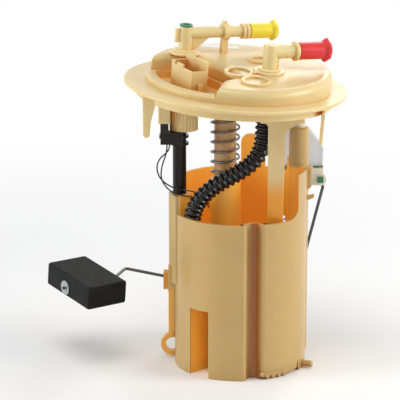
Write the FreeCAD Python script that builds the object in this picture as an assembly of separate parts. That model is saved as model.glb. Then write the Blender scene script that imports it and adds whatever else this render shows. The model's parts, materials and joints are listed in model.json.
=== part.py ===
import FreeCAD, Part
import math
import os

os.makedirs("parts", exist_ok=True)
Vec = FreeCAD.Vector
UP = Vec(0, 0, 1)

# Fuel tank sending unit, in millimetres. The origin is the middle of the reservoir pot at the surface
# that it stands on. Z is up along the pot, and the side with the moulded groove faces -Y.

# Reservoir pot
pot_radius = 45.0
pot_wall = 2.0
pot_rim_height = 108.3
pot_back_height = 128.8
pot_right_height = 138.0
pot_front_cut_right = 38.3
rim_corner_radius = 6.8
floor_bottom = 8.0
floor_thickness = 2.0
groove_left = 3.4
groove_bottom_left = 6.0
groove_bottom_right = 10.0
groove_right = 14.4
groove_depth = 7.8
groove_round = 1.6
groove_left_slope = 2.5
groove_right_slope = 5.6
groove_edge_round = 2.6
tab_left = 1.0
tab_width = 17.0
tab_height = 151.4
tab_corner = 6.5
foot_step_height = 6.0
foot_step_left = 12.3
foot_step_right = 39.5

# Recess for the inlet at the foot of the pot, front left
inlet_recess_left = -34.4
inlet_recess_right = -22.1
inlet_recess_height = 47.0
inlet_recess_back_left = -28.0
inlet_recess_back_right = -17.4

# Guide column of the spring, in the middle of the pot
spring_column_x = -10.6
spring_column_radius = 10.6
spring_column_top = 130.0

# Guide column at the right
side_column_x = 39.4
side_column_y = 3.0
side_column_radius = 6.8
side_column_top = 165.0
guide_fit_length = 14.0
guide_relief = 0.7
column_bore_bottom = 40.0

# Sleeve of the return pipe, at the left
pipe_x = -41.5
pipe_y = -2.0
pipe_radius = 4.6
pipe_wall = 1.2
sleeve_wall = 2.5
sleeve_bottom = 70.0
sleeve_top = 120.3
sleeve_chamfer = 2.9
fairing_bottom = 58.5
fairing_outline = [(-44.2, -12.5), (-47.0, -8.0), (-47.0, 4.0), (-43.5, 10.0), (-40.0, 10.0), (-40.0, -12.5)]
pipe_bottom = 95.0
pipe_window_height = 9.0

# Running clearance of the rods in their guides, and loose clearance round the pipe
guide_clearance = 0.1
pipe_clearance = 0.35

# Rods that hang from the cover
spring_rod_radius = 7.5
spring_rod_wall = 1.8
spring_rod_bottom = 92.0
side_rod_radius = 4.1
side_rod_bottom = 104.0
rod_socket_depth = 4.0
side_socket_gap = 0.4
rod_end_chamfer = 0.8
side_rod_stop_grow = 0.5
side_rod_stop_height = 2.4
side_rod_stop_gap = 0.1

# Spring
spring_wire_radius = 0.7
spring_wire_sides = 8
spring_outer_radius = 10.2
spring_pitch = 6.8
spring_left_turn_height = 135.0

# Cover: a round plate that leans on its rods
cover_radius = 75.0
cover_thickness = 2.6
cover_edge_round = 0.9
cover_centre = Vec(-3.8, 0, 195.8)
lean_right_down = 4.0
lean_front_down = 2.7
collar_radius = 67.2
collar_wall = 2.4
collar_depth = 8.6
dome_x = 3.0
dome_y = -1.0
dome_radius = 61.0
dome_height = 14.0
dome_wall = 2.4
dome_round = 5.0
dome_crease_y = -8.0
dome_front_height = 9.8
bay_round = 5.0
bay_outline = [(-13.6, -80.0), (-13.6, -55.0), (-9.6, -38.0), (0.5, -29.0), (-7.0, -17.0), (-26.5, 11.0),
               (-44.0, 12.0), (-75.0, 3.5), (-90.0, -80.0)]

# Tray with a raised lip round the connector
lip_radius = 60.3
lip_width = 6.5
lip_height = 4.3
lip_round = 1.9
tray_floor = -1.2
tray_right = -13.6
tray_back = [(-8.0, -29.0), (-8.5, -18.0), (-27.0, 7.5), (-44.0, 8.5), (-75.0, 0.5)]
pocket_inset = 2.0
tray_end_round = 7.0

# Connector shroud on the cover
shroud_length = 29.0
shroud_width = 12.5
shroud_x = -31.5
shroud_y = -18.4
shroud_heading = -62.0
shroud_wall = 1.5
shroud_back_height = 19.0
shroud_front_height = 13.4
shroud_step = 2.0
blade_width = 2.8
blade_thickness = 0.64
blade_height = 8.0
blade_pitch = 5.6
blade_count = 4

# Weld rings on the dome
ring_outer = 10.0
ring_band = 2.6
ring_height = 1.5
ring_round = 0.5

# Legs under the cover, square to its plate, in the cover's own frame
leg_thickness = 1.8
leg_y = -40.0
left_leg_outline = [(-61.4, 0.0), (-51.0, 0.0), (-51.6, -5.0), (-52.9, -11.5), (-54.6, -20.0), (-54.8, -29.5),
                    (-56.0, -31.0), (-58.0, -31.0), (-59.1, -29.5), (-61.05, -5.0)]
right_leg_x = 57.4
right_leg_top_width = 12.6
right_leg_width = 7.6
right_leg_tip_width = 5.2
right_leg_length = 28.0
leg_tip_corner = 1.2
strap_left = 17.3
strap_right = 28.8
strap_front = -31.2
strap_thickness = 2.0
strap_tip = 92.0
strap_tip_corner = 2.0
strap_taper = 1.4
strap_shoulder_drop = 15.5
strap_shoulder_left = 5.0
strap_shoulder_right = 12.5
strap_left_round = 3.0
strap_right_round = 11.0
boss_reach = 30.0

# Sockets under the cover
pipe_socket_radius = 6.6
pipe_socket_bottom = 165.7
pipe_lobe_x = -38.5
pipe_lobe_y = -8.0
pipe_lobe_radius = 9.6
flute_radius = 0.9
flute_count = 24
plug_left = -54.1
plug_step = -48.7
plug_right = -39.2
plug_front = -18.2
plug_back = -9.0
plug_bottom = 157.4
plug_step_height = 165.4
plug_shoulder = 171.8
plug_step_inset = 0.6
plug_rib_count = 6
plug_rib_pitch = 2.4
pin_pitch = 4.4
pin_thickness = 0.6
pin_width = 1.2
pin_clearance = 0.1
plug_socket_wall = 1.4
plug_fit = 0.15
plug_insert_length = 8.0

# Hose between the cover and the pickup
hose_radius = 6.1
hose_bore_radius = 4.4
hose_fit = 0.2
hose_socket_wall = 1.2
hose_route = [
    (15.0, -22.4, 187.3), (15.0, -22.4, 176.2), (14.8, -22.4, 165.2), (13.3, -22.2, 155.6), (8.8, -21.9, 147.4),
    (1.2, -21.5, 141.0), (-7.8, -20.8, 135.6), (-17.2, -19.8, 130.0), (-25.6, -18.2, 122.6), (-31.2, -15.8, 113.8),
    (-33.4, -14.4, 103.6), (-32.6, -14.2, 91.4), (-30.8, -12.6, 79.4), (-29.2, -8.4, 69.0), (-28.2, -1.4, 60.0),
    (-28.0, 6.4, 52.2), (-28.0, 12.0, 43.0), (-28.0, 12.0, 32.2),
]
spigot_bore_radius = 2.4
spigot_tip = 176.0

# Pickup at the lower end of the hose
pickup_radius = 9.0
pickup_body_height = 8.0
pickup_barb_length = 5.2
screen_drum_height = 5.0
pickup_slot_count = 8
pickup_slot_width = 2.4

# Inlet valve in the floor of the pot
valve_x = 17.0
valve_y = -4.0
valve_disc_radius = 9.0
valve_disc_height = 1.4
valve_stem_radius = 1.5
valve_stem_clearance = 0.08
valve_lift = 1.5
valve_bulb_radius = 2.2
valve_bulb_height = 1.2
valve_port_radius = 1.9
valve_port_circle = 5.6
valve_port_count = 6

# Bottom cover and inlet screen
base_plate_bottom = 1.6
base_plate_thickness = 1.8
base_plate_gap = 0.2
base_hole_radius = 3.0
base_hole_circle = 12.5
base_hole_count = 8
skirt_wall = 1.8
skirt_bottom = 3.0
tooth_count = 4
tooth_width = 4.2
tooth_pitch = 4.6
tooth_point = 0.7
tooth_first_angle = -66.0
foot_pad_radius = 3.0
foot_pad_circle = 32.0
foot_pad_count = 3
lug_radius = 2.2
lug_reach = 7.4
lug_angle = -19.0
lug_height = 3.0
front_peg_radius = 1.3
front_peg_x = 13.8
front_peg_y = -42.3
skirt_left = 14.6
screen_outer_radius = 17.5
screen_frame_width = 1.6
screen_mesh_thickness = 0.6
screen_mesh_height = 0.7

# Float arm, a bent wire in a plane behind the pot
arm_plane = 47.6
arm_radius = 1.1
arm_bend_radius = 3.2
pivot_x = 56.4
pivot_z = 119.6
arm_route = [
    (pivot_x, arm_plane, pivot_z), (58.9, arm_plane, 112.2), (38.2, arm_plane, 27.6), (-80.7, arm_plane, 52.2),
    (-87.5, 24.3, 52.2), (-120.4, 0.56, 52.2),
]

# Float on the end of the arm
float_length = 53.5
float_width = 31.1
float_height = 16.3
float_round = 1.8
float_nose_down = 6.5
float_bore_share = 0.45
float_bore_height = 6.1
float_bore_clearance = 0.06
retainer_radius = 5.0
retainer_crown_share = 0.5
retainer_grip = 0.03
retainer_thickness = 0.5
retainer_crown = 0.9
arm_end_length = 2.2

# Hooks and fin at the left of the pot
fin_left = -49.3
fin_thickness = 2.2
fin_front = -4.5
fin_back = 18.0
hook_bottom = 37.7
hook_lip_top = 50.4
hook_left = -53.7
hook_right = -45.2
hook_wall = 1.8
hook_clearance = 0.35
eye_radius = 8.2
eye_hole_radius = 4.9
eye_x = -46.6
eye_y = 6.0
eye_z = 9.6
eye_thickness = 4.6
eye_stalk_top = 22.5
eye_stalk_height = 3.0

# Level sensor at the right
sensor_front = 38.0
sensor_back = 43.4
sensor_rail_left = 27.0
sensor_rail_right = 38.0
sensor_rail_bottom = 96.0
sensor_rail_top = 126.0
pivot_ear_radius = 4.4
hub_radius = 1.9
hub_clearance = 0.08
hub_head_width = 4.2
hub_head_height = 4.0
hub_head_thickness = 1.3
grip_width = 4.4
card_inner_radius = 13.5
card_outer_radius = 23.0
card_thickness = 0.8
card_start_angle = 112.0
card_end_angle = 163.0
wiper_angle = 157.0
wiper_gap = 0.15
wiper_thickness = 0.3
wiper_length = 20.0
holder_front = 44.75
holder_back = 50.3
sensor_seal_height = 129.2
sensor_seal_thickness = 0.5
sensor_bracket_right = 58.2
sensor_cover_right = 58.4
sensor_cover_top = 159.4
sensor_slope_top = (46.8, 158.0)
sensor_slope_bottom = (55.6, 147.0)
sensor_cover_left_drop = 6.8
sensor_cover_wall = 1.6
sensor_housing_margin = 1.5

# Nozzles on the dome
nozzle_heading = 24.3
feed_x = -35.5
feed_y = 17.5
feed_tube_radius = 3.95
feed_bore_radius = 2.4
feed_axis_height = 28.2
feed_length = 47.0
feed_tower_radius = 4.4
return_x = 20.9
return_y = -17.0
return_tube_radius = 4.6
return_bore_radius = 2.9
return_axis_height = 26.8
return_length = 19.9
return_tower_radius = 4.9
weld_base_radius = 10.4
weld_base_height = 1.5
weld_step_radius = 7.6
weld_step_height = 1.4
tower_top_over_axis = 4.6
strut_along = 29.2
strut_thickness = 4.2
bead_radius = 5.3
bead_width = 2.2
collar_ring_radius = 6.6
collar_ring_width = 2.6
green_ring_height = 1.3
gusset_start = 3.0
gusset_foot = 8.2
gusset_end = 21.3
gusset_thickness = 2.4

# Transport caps on the nozzles
cap_wall = 1.0
cap_clearance = 0.3
feed_cap_length = 20.4
return_cap_length = 22.9
cap_head_length = 5.4
cap_head_taper = 2.2
feed_cap_head = 7.3
return_cap_head = 8.2

# Sensor wires
sensor_wire_radius = 0.5
sensor_wire_a_route = [
    (-47.9, -14.6, 157.3), (-48.2, -14.6, 153.5), (-50.6, -14.2, 150.6), (-54.4, -13.4, 147.2), (-56.4, -12.8, 143.0),
    (-56.6, -12.0, 138.6), (-55.4, -11.2, 134.4), (-52.9, -10.8, 130.8), (-49.5, -10.4, 128.0), (-45.7, -10.0, 125.9),
    (-41.4, -9.2, 124.4), (-37.0, -7.4, 123.4), (-33.0, -4.4, 122.0), (-28.4, 0.2, 119.6), (-25.4, 5.0, 115.8),
    (-22.6, 10.2, 111.0), (-19.2, 14.6, 105.6), (-15.0, 18.2, 100.0), (-9.6, 21.2, 94.8), (-3.4, 23.8, 91.0),
    (3.6, 25.8, 89.6), (11.0, 27.2, 89.4), (18.2, 28.6, 90.0), (24.8, 30.6, 90.4), (29.6, 34.6, 90.6),
    (32.6, 38.8, 91.4), (32.9, 40.4, 93.6),
]
sensor_wire_b_route = [
    (-49.7, -12.6, 157.3), (-49.8, -12.6, 153.4), (-50.6, -12.4, 149.0), (-52.4, -12.9, 144.2), (-53.6, -13.6, 139.4),
    (-53.9, -13.6, 135.0), (-52.9, -13.2, 130.9), (-50.6, -12.8, 127.2), (-47.5, -12.4, 124.0), (-43.8, -12.0, 121.9),
    (-39.6, -11.4, 120.8), (-35.6, -9.6, 119.8), (-31.6, -6.4, 118.8), (-27.0, -2.4, 116.6), (-24.2, 2.6, 112.8),
    (-21.6, 7.6, 108.0), (-18.8, 12.2, 102.6), (-14.6, 16.0, 97.2), (-9.0, 19.0, 92.0), (-2.4, 21.4, 88.4),
    (4.8, 23.2, 86.6), (12.2, 24.8, 86.4), (19.4, 26.6, 87.2), (25.4, 29.0, 88.4), (30.2, 32.8, 88.8),
    (34.2, 37.0, 89.6), (36.2, 39.6, 91.6), (36.4, 40.4, 93.7),
]
wire_window_low = (25.8, 86.5)
wire_window_high = (34.2, 95.6)

# Travel of the cover on its rods
cover_travel = 24.0

# Values that follow from the sizes above
pot_inner_radius = pot_radius - pot_wall
wall_top = max(tab_height, pot_right_height, pot_back_height)
floor_top = floor_bottom + floor_thickness
sleeve_bore_radius = pipe_radius + pipe_clearance
sleeve_outer_radius = sleeve_bore_radius + sleeve_wall
spring_radius = spring_outer_radius - spring_wire_radius
base_plate_top = base_plate_bottom + base_plate_thickness
skirt_radius = pot_radius - 0.5
spigot_radius = hose_bore_radius - hose_fit
lean_angle = math.hypot(lean_right_down, lean_front_down)
lean_axis = Vec(lean_front_down, lean_right_down, 0)
cover_place = FreeCAD.Placement(cover_centre, FreeCAD.Rotation(lean_axis, lean_angle))


def cylinder(x, y, bottom, top, radius):
    return Part.makeCylinder(radius, top - bottom, Vec(x, y, bottom))


def tube(x, y, bottom, top, outer, inner):
    return cylinder(x, y, bottom, top, outer).cut(cylinder(x, y, bottom, top, inner))


def block(low, high):
    return Part.makeBox(high[0] - low[0], high[1] - low[1], high[2] - low[2], Vec(*low))


def prism(points, bottom, top):
    wire = Part.makePolygon([Vec(x, y, bottom) for x, y in points + points[:1]])
    return Part.Face(wire).extrude(Vec(0, 0, top - bottom))


def slab(points, front, back):
    """A flat plate whose outline is given as (x, z) points, from the plane y = front to y = back."""
    wire = Part.makePolygon([Vec(x, front, z) for x, z in points + points[:1]])
    return Part.Face(wire).extrude(Vec(0, back - front, 0))


def upright_edges(shape):
    found = []
    for edge in shape.Edges:
        start, end = edge.firstVertex().Point, edge.lastVertex().Point
        if abs(start.x - end.x) < 1e-6 and abs(start.y - end.y) < 1e-6 and abs(start.z - end.z) > 1e-6:
            found.append(edge)
    return found


def lying_edges(shape, height):
    """Edges that lie wholly at one height."""
    return [e for e in shape.Edges if abs(e.BoundBox.ZMin - height) < 1e-5 and abs(e.BoundBox.ZMax - height) < 1e-5]


def polar(x, y, radius, degrees):
    angle = math.radians(degrees)
    return (x + radius * math.cos(angle), y + radius * math.sin(angle))


def placed(shape):
    """Moves a shape from the cover's own frame, with the plate's top at height 0, to its leaning place."""
    moved = shape.copy()
    moved.Placement = cover_place.multiply(moved.Placement)
    return moved


def cover_height(x, y):
    """Height of the plate's top face above a point of the floor plan."""
    normal = cover_place.Rotation.multVec(UP)
    return cover_centre.z - (normal.x * (x - cover_centre.x) + normal.y * (y - cover_centre.y)) / normal.z


def bent_path(points, radii):
    """Straight runs joined by tangent arcs: the path of a hose, a lead or a bent wire."""
    edges = []
    start = points[0]
    for before, corner, after, radius in zip(points, points[1:], points[2:], radii):
        towards = (before - corner).normalize()
        onwards = (after - corner).normalize()
        turn = math.pi - towards.getAngle(onwards)
        setback = radius * math.tan(turn / 2)
        bisector = (towards + onwards).normalize()
        middle = corner + bisector * (radius / math.cos(turn / 2) - radius)
        arc_start = corner + towards * setback
        arc_end = corner + onwards * setback
        edges.append(Part.LineSegment(start, arc_start).toShape())
        edges.append(Part.Arc(arc_start, middle, arc_end).toShape())
        start = arc_end
    edges.append(Part.LineSegment(start, points[-1]).toShape())
    return Part.Wire(edges)


def cord_radii(points):
    radii = []
    for before, corner, after in zip(points, points[1:], points[2:]):
        shorter = min((before - corner).Length, (after - corner).Length)
        turn = math.pi - (before - corner).getAngle(after - corner)
        radii.append(0.45 * shorter / math.tan(turn / 2))
    return radii


def swept(path, radius):
    start = path.Edges[0].firstVertex().Point
    direction = path.Edges[0].tangentAt(path.Edges[0].FirstParameter)
    section = Part.Wire(Part.makeCircle(radius, start, direction))
    return path.makePipeShell([section], True, False)


def cord(name, route, radius, bore=0.0):
    points = [Vec(*p) for p in route]
    radii = cord_radii(points)
    path = bent_path(points, radii)
    solid = swept(path, radius)
    section = math.pi * radius * radius
    if bore > 0:
        solid = solid.cut(swept(path, bore))
        section -= math.pi * bore * bore
    ratio = solid.Volume / (section * path.Length)
    print(name, "length", round(path.Length, 1), "volume ratio", round(ratio, 4))
    print(name, "radii", [round(r, 1) for r in radii])
    return solid


# The reservoir pot

def pot_outline(height):
    """The pot filled solid, with its front groove."""
    body = cylinder(0, 0, 0, height, pot_radius)
    outside = -pot_radius - 5
    inside = groove_depth - pot_radius
    notch = prism([(groove_left, outside), (groove_left, inside - groove_left_slope), (groove_bottom_left, inside),
                   (groove_bottom_right, inside), (groove_right, inside - groove_right_slope),
                   (groove_right, outside)], 0, height)
    body = body.cut(notch)
    near_groove = [e for e in upright_edges(body) if groove_left - 1 < e.firstVertex().Point.x < groove_right + 1]
    inner = [e for e in near_groove if not on_radius(e, pot_radius)]
    body = body.makeFillet(groove_round, inner)
    outer = [e for e in upright_edges(body) if on_radius(e, pot_radius)
             and groove_left - 1 < e.firstVertex().Point.x < groove_right + 1]
    return body.makeFillet(groove_edge_round, outer)


def on_radius(edge, radius):
    point = edge.firstVertex().Point
    return abs(math.hypot(point.x, point.y) - radius) < 1e-4


def pot_cavity(outline, bottom, height):
    """The space inside the pot, one wall thickness in from the outline."""
    base = min(outline.Faces, key=lambda f: f.CenterOfMass.z)
    inner = base.OuterWire.makeOffset2D(-pot_wall)
    cavity = Part.Face(inner).extrude(Vec(0, 0, height))
    return cavity.common(block((-60, -60, bottom), (60, 60, height + 1)))


def inlet_recess(grow):
    """The wedge cut out of the pot's foot, or with grow the wedge and the wall round it."""
    outline = [(inlet_recess_left, -2 * pot_radius), (inlet_recess_left, inlet_recess_back_left),
               (inlet_recess_right, inlet_recess_back_right), (inlet_recess_right, -2 * pot_radius)]
    wire = Part.makePolygon([Vec(x, y, -1) for x, y in outline + outline[:1]])
    if grow > 0:
        wire = wire.makeOffset2D(grow)
    return Part.Face(wire).extrude(Vec(0, 0, inlet_recess_height + grow + 1))


def rim_cutters():
    """What is taken off the tall wall to leave the low front, the middle-high back and the high right side."""
    top = wall_top + 1
    front = block((-60, -60, pot_rim_height), (pot_front_cut_right, 0, top))
    corner = [e for e in front.Edges if abs(e.BoundBox.XMin - pot_front_cut_right) < 1e-5
              and abs(e.BoundBox.ZMax - pot_rim_height) < 1e-5 and e.BoundBox.YLength > 10]
    front = front.makeFillet(rim_corner_radius, corner)
    tab = block((tab_left, 0, pot_back_height - 1), (tab_left + tab_width, 60, tab_height))
    corners = [e for e in tab.Edges if e.BoundBox.YLength > 10 and e.BoundBox.ZMin > tab_height - 1]
    tab = tab.makeFillet(tab_corner, corners)
    back = block((-60, -1, pot_back_height), (side_column_x - side_column_radius, 60, top)).cut(tab)
    right = block((side_column_x - side_column_radius, -60, pot_right_height), (60, 60, top))
    return front.fuse([back, right])


def pot_shell():
    outline = pot_outline(wall_top)
    cavity = pot_cavity(outline, floor_top, wall_top)
    cavity = cavity.cut(inlet_recess(pot_wall))
    shell = outline.cut(cavity).cut(inlet_recess(0))
    under_floor = pot_cavity(outline, -1, floor_bottom).cut(inlet_recess(pot_wall))
    shell = shell.cut(under_floor)
    step = block((foot_step_left, -60, -1), (foot_step_right, 0, foot_step_height))
    return shell.cut(rim_cutters()).cut(step)


def pipe_sleeve():
    """The sleeve that the pipe slides in, with the fairing that blends it into the pot's wall."""
    bottom = sleeve_bottom - sleeve_chamfer - 0.1
    outer = cylinder(pipe_x, pipe_y, bottom, sleeve_top, sleeve_outer_radius)
    outer = outer.makeChamfer(sleeve_chamfer, lying_edges(outer, bottom))
    fairing = prism(fairing_outline, fairing_bottom, sleeve_top)
    return outer.fuse(fairing.cut(cylinder(0, 0, 0, sleeve_top + 1, pot_inner_radius)))


def sleeve_bore():
    bore = cylinder(pipe_x, pipe_y, sleeve_bottom, max(sleeve_top, pot_back_height) + 1, sleeve_bore_radius)
    window = block((pipe_x, pipe_y - 2.5, sleeve_bottom), (pipe_x + sleeve_outer_radius + 1, pipe_y + 2.5,
                                                          sleeve_bottom + pipe_window_height))
    return bore.fuse(window)


def guide_column(x, y, radius, top):
    column = cylinder(x, y, floor_bottom, top, radius)
    return column.makeChamfer(0.6, lying_edges(column, top))


def guide_bore(x, y, rod_radius, top):
    fit = cylinder(x, y, top - guide_fit_length, top + 1, rod_radius + guide_clearance)
    relief = cylinder(x, y, column_bore_bottom, top - guide_fit_length, rod_radius + guide_relief)
    return fit.fuse(relief)


def side_column_ledge():
    """The ledge and web that tie the right column to the pot's wall."""
    ledge = block((side_column_x - 2, side_column_y - 5.5, pot_right_height - 2.6),
                  (side_column_x + 9.6, side_column_y + 5.5, pot_right_height))
    ledge = ledge.makeFillet(2.0, [e for e in upright_edges(ledge) if e.firstVertex().Point.x > side_column_x])
    web = slab([(side_column_x + 4, 114.5), (side_column_x + 6.0, 114.5), (side_column_x + 10.6, 116.4),
                (side_column_x + 10.6, 118.6), (side_column_x + 6.0, 117.6), (side_column_x + 4, 117.6)],
               side_column_y - 3.2, side_column_y - 0.8)
    rib = slab([(side_column_x + 4, 120.5), (side_column_x + 8.6, 124.0), (side_column_x + 8.6, pot_right_height - 1),
                (side_column_x + 4, pot_right_height - 1)], side_column_y - 3.2, side_column_y - 0.8)
    return ledge.fuse([web, rib])


def left_fin():
    """The flat fin down the left side, with the hook that the float arm rests on and the eye at the foot."""
    right = fin_left + fin_thickness
    fin = slab([(fin_left, 22.0), (fin_left, sleeve_bottom), (right, sleeve_bottom), (right + 4, 66),
                (right + 4, 22.0)], fin_front, fin_front + fin_thickness)
    plate = block((fin_left, fin_front, 22.0), (right, fin_back, sleeve_bottom - 4))
    inner = arm_plane - arm_radius - hook_clearance
    outer = arm_plane + arm_radius + hook_clearance
    seat = arm_height_at(hook_left) - arm_radius - hook_clearance
    arm = block((hook_right - hook_wall, 0, hook_bottom), (hook_right, outer, seat - 1.2))
    trough = block((hook_left, inner - hook_wall, hook_bottom), (hook_right, outer + hook_wall, hook_lip_top))
    slope = slab([(hook_left - 1, arm_height_at(hook_left - 1) - arm_radius - hook_clearance),
                  (hook_right + 1, arm_height_at(hook_right + 1) - arm_radius - hook_clearance),
                  (hook_right + 1, hook_lip_top + 9), (hook_left - 1, hook_lip_top + 9)], inner, outer)
    gusset = prism([(hook_right - 6, inner), (hook_right, inner), (hook_right, 12), (hook_right - 1.8, 12)],
                   hook_bottom, hook_bottom + 2.0)
    return fin.fuse([plate, arm, trough, gusset]).cut(slope)


def foot_eye():
    """The ring at the foot of the pot, below the left fin."""
    back = eye_y + eye_thickness
    ring = Part.makeCylinder(eye_radius, eye_thickness, Vec(eye_x, eye_y, eye_z), Vec(0, 1, 0))
    stalk = slab([(fin_left, eye_z), (fin_left, eye_stalk_top), (fin_left + eye_radius - 2, eye_stalk_top),
                  (eye_x + eye_radius - 2, eye_z)], eye_y, back)
    bridge = block((fin_left, fin_front, eye_stalk_top - eye_stalk_height), (fin_left + fin_thickness, fin_back,
                                                                            eye_stalk_top))
    hole = Part.makeCylinder(eye_hole_radius, eye_thickness + 2, Vec(eye_x, eye_y - 1, eye_z), Vec(0, 1, 0))
    inside = cylinder(0, 0, -1, eye_stalk_top + 1, pot_inner_radius + pot_wall / 2)
    return ring.fuse([stalk, bridge]).cut([hole, inside])


def sensor_rails():
    """The block on the back of the pot that the level sensor clips to, with its two rails."""
    body = block((sensor_rail_left, 20, sensor_rail_bottom), (sensor_rail_right, sensor_front, sensor_rail_top))
    body = body.cut(block((sensor_rail_left + 2, 20, sensor_rail_bottom + 2),
                          (sensor_rail_right - 2, sensor_front + 1, sensor_rail_top - 2)))
    return body.cut(cylinder(0, 0, 0, wall_top, pot_inner_radius + 0.5))


def valve_ports():
    holes = [cylinder(valve_x, valve_y, floor_bottom - 1, floor_top + 1, valve_stem_radius + valve_stem_clearance)]
    for i in range(valve_port_count):
        x, y = polar(valve_x, valve_y, valve_port_circle, 360.0 * i / valve_port_count)
        holes.append(cylinder(x, y, floor_bottom - 1, floor_top + 1, valve_port_radius))
    return holes


def wire_window():
    """The hole in the back of the pot that the sensor wires leave through."""
    left, bottom = wire_window_low
    right, top = wire_window_high
    return block((left, 29, bottom), (right, sensor_front + 2, top))


def make_reservoir_pot():
    parts = [pipe_sleeve(), side_column_ledge(), left_fin(), foot_eye(), sensor_rails(),
             guide_column(spring_column_x, 0, spring_column_radius, spring_column_top),
             guide_column(side_column_x, side_column_y, side_column_radius, side_column_top)]
    pot = pot_shell().fuse(parts)
    cutters = [sleeve_bore(), guide_bore(spring_column_x, 0, spring_rod_radius, spring_column_top),
               guide_bore(side_column_x, side_column_y, side_rod_radius, side_column_top)]
    pot = pot.cut(cutters + valve_ports() + [side_lug(0.1), wire_window()])
    return pot.removeSplitter()


# The bottom cover, its screen and the inlet valve

def side_lug(grow):
    """The lug that locks the bottom cover in a hole of the pot."""
    x, y = polar(0, 0, skirt_radius - 4, lug_angle)
    direction = Vec(*polar(0, 0, 1, lug_angle), 0)
    return Part.makeCylinder(lug_radius + grow, 4.5 + lug_reach, Vec(x, y, lug_height), direction)


def make_bottom_cover():
    outline = pot_outline(10)
    base = min(outline.Faces, key=lambda f: f.CenterOfMass.z)
    plan = Part.Face(base.OuterWire.makeOffset2D(-pot_wall - base_plate_gap))
    plate = plan.extrude(Vec(0, 0, base_plate_thickness))
    plate.translate(Vec(0, 0, base_plate_bottom))
    plate = plate.cut(inlet_recess(pot_wall + base_plate_gap))
    sector = block((skirt_left, -60, 0), (foot_step_right - base_plate_gap, 0, foot_step_height))
    skirt = tube(0, 0, skirt_bottom, foot_step_height - base_plate_gap, skirt_radius, skirt_radius - skirt_wall)
    skirt = skirt.common(sector)
    join = tube(0, 0, base_plate_bottom, base_plate_top, skirt_radius - 0.5, skirt_radius - 5).common(sector)
    peg = cylinder(front_peg_x, front_peg_y, skirt_bottom, foot_step_height - base_plate_gap, front_peg_radius)
    lug = side_lug(0)
    tip = max(lug.Edges, key=lambda e: Vec(e.CenterOfMass.x, e.CenterOfMass.y, 0).Length)
    solids = [skirt, join, lug.makeFillet(lug_radius / 2, [tip]), peg]
    for i in range(tooth_count):
        angle = tooth_first_angle + math.degrees(i * tooth_pitch / skirt_radius)
        tooth = slab([(-tooth_width / 2, skirt_bottom + 1), (tooth_width / 2, skirt_bottom + 1),
                      (tooth_point / 2, 0), (-tooth_point / 2, 0)], -skirt_radius, skirt_wall - skirt_radius)
        tooth = tooth.common(cylinder(0, 0, 0, skirt_bottom + 1, skirt_radius))
        tooth.rotate(Vec(0, 0, 0), UP, angle + 90)
        solids.append(tooth)
    for i in range(foot_pad_count):
        x, y = polar(0, 0, foot_pad_circle, 30 + 360.0 * i / foot_pad_count)
        solids.append(cylinder(x, y, 0, base_plate_bottom + 0.5, foot_pad_radius))
    solids.append(cylinder(0, 0, 0, base_plate_bottom + 0.5, foot_pad_radius))
    cover = plate.fuse(solids)
    for i in range(base_hole_count):
        x, y = polar(valve_x, valve_y, base_hole_circle, 360.0 * i / base_hole_count)
        cover = cover.cut(cylinder(x, y, 0, base_plate_top + 1, base_hole_radius))
    return cover.removeSplitter()


def make_inlet_screen():
    """A framed mesh disc held between the bottom cover and the pot's floor."""
    frame = tube(valve_x, valve_y, base_plate_top, floor_bottom, screen_outer_radius,
                 screen_outer_radius - screen_frame_width)
    mesh = cylinder(valve_x, valve_y, base_plate_top + screen_mesh_height,
                    base_plate_top + screen_mesh_height + screen_mesh_thickness, screen_outer_radius - 1)
    return frame.fuse(mesh).removeSplitter()


def make_inlet_valve():
    bulb_top = floor_bottom - valve_lift - 0.1
    disc = cylinder(valve_x, valve_y, floor_top, floor_top + valve_disc_height, valve_disc_radius)
    disc = disc.makeFillet(0.5, lying_edges(disc, floor_top + valve_disc_height))
    stem = cylinder(valve_x, valve_y, bulb_top - valve_bulb_height / 2, floor_top + 0.5, valve_stem_radius)
    bulb = cylinder(valve_x, valve_y, bulb_top - valve_bulb_height, bulb_top, valve_bulb_radius)
    return disc.fuse([stem, bulb]).removeSplitter()


# The pickup and its hose

def pickup_axis():
    return hose_route[-1][0], hose_route[-1][1]


def make_pickup_body():
    x, y = pickup_axis()
    bottom = floor_top + screen_drum_height
    body = cylinder(x, y, bottom, bottom + pickup_body_height, pickup_radius)
    body = body.makeFillet(2.5, lying_edges(body, bottom + pickup_body_height))
    stem = cylinder(x, y, bottom + pickup_body_height - 1, hose_route[-1][2] - 1, spigot_radius + 1.0)
    barb = cylinder(x, y, hose_route[-1][2] - 2, hose_route[-1][2] + pickup_barb_length, spigot_radius)
    bore = cylinder(x, y, bottom - 1, hose_route[-1][2] + pickup_barb_length + 1, spigot_bore_radius)
    return body.fuse([stem, barb]).cut(bore).removeSplitter()


def make_pickup_screen():
    """The slotted drum that keeps dirt out of the pickup."""
    x, y = pickup_axis()
    top = floor_top + screen_drum_height
    drum = tube(x, y, floor_top, top, pickup_radius - 0.6, pickup_radius - 2.0)
    lid = tube(x, y, top - 1.0, top, pickup_radius - 1.5, spigot_bore_radius + 1)
    drum = drum.fuse(lid)
    for i in range(pickup_slot_count):
        slot = block((0, -pickup_slot_width / 2, floor_top + 0.8),
                     (pickup_radius + 2, pickup_slot_width / 2, top - 1.8))
        slot.rotate(Vec(0, 0, 0), UP, 360.0 * i / pickup_slot_count)
        slot.translate(Vec(x, y, 0))
        drum = drum.cut(slot)
    return drum.removeSplitter()


def make_corrugated_hose():
    return cord("corrugated_hose", hose_route, hose_radius, hose_bore_radius)


# The rods, the pipe and the spring

def rod_top(x, y):
    return cover_height(x, y) - cover_thickness - 0.8


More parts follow.
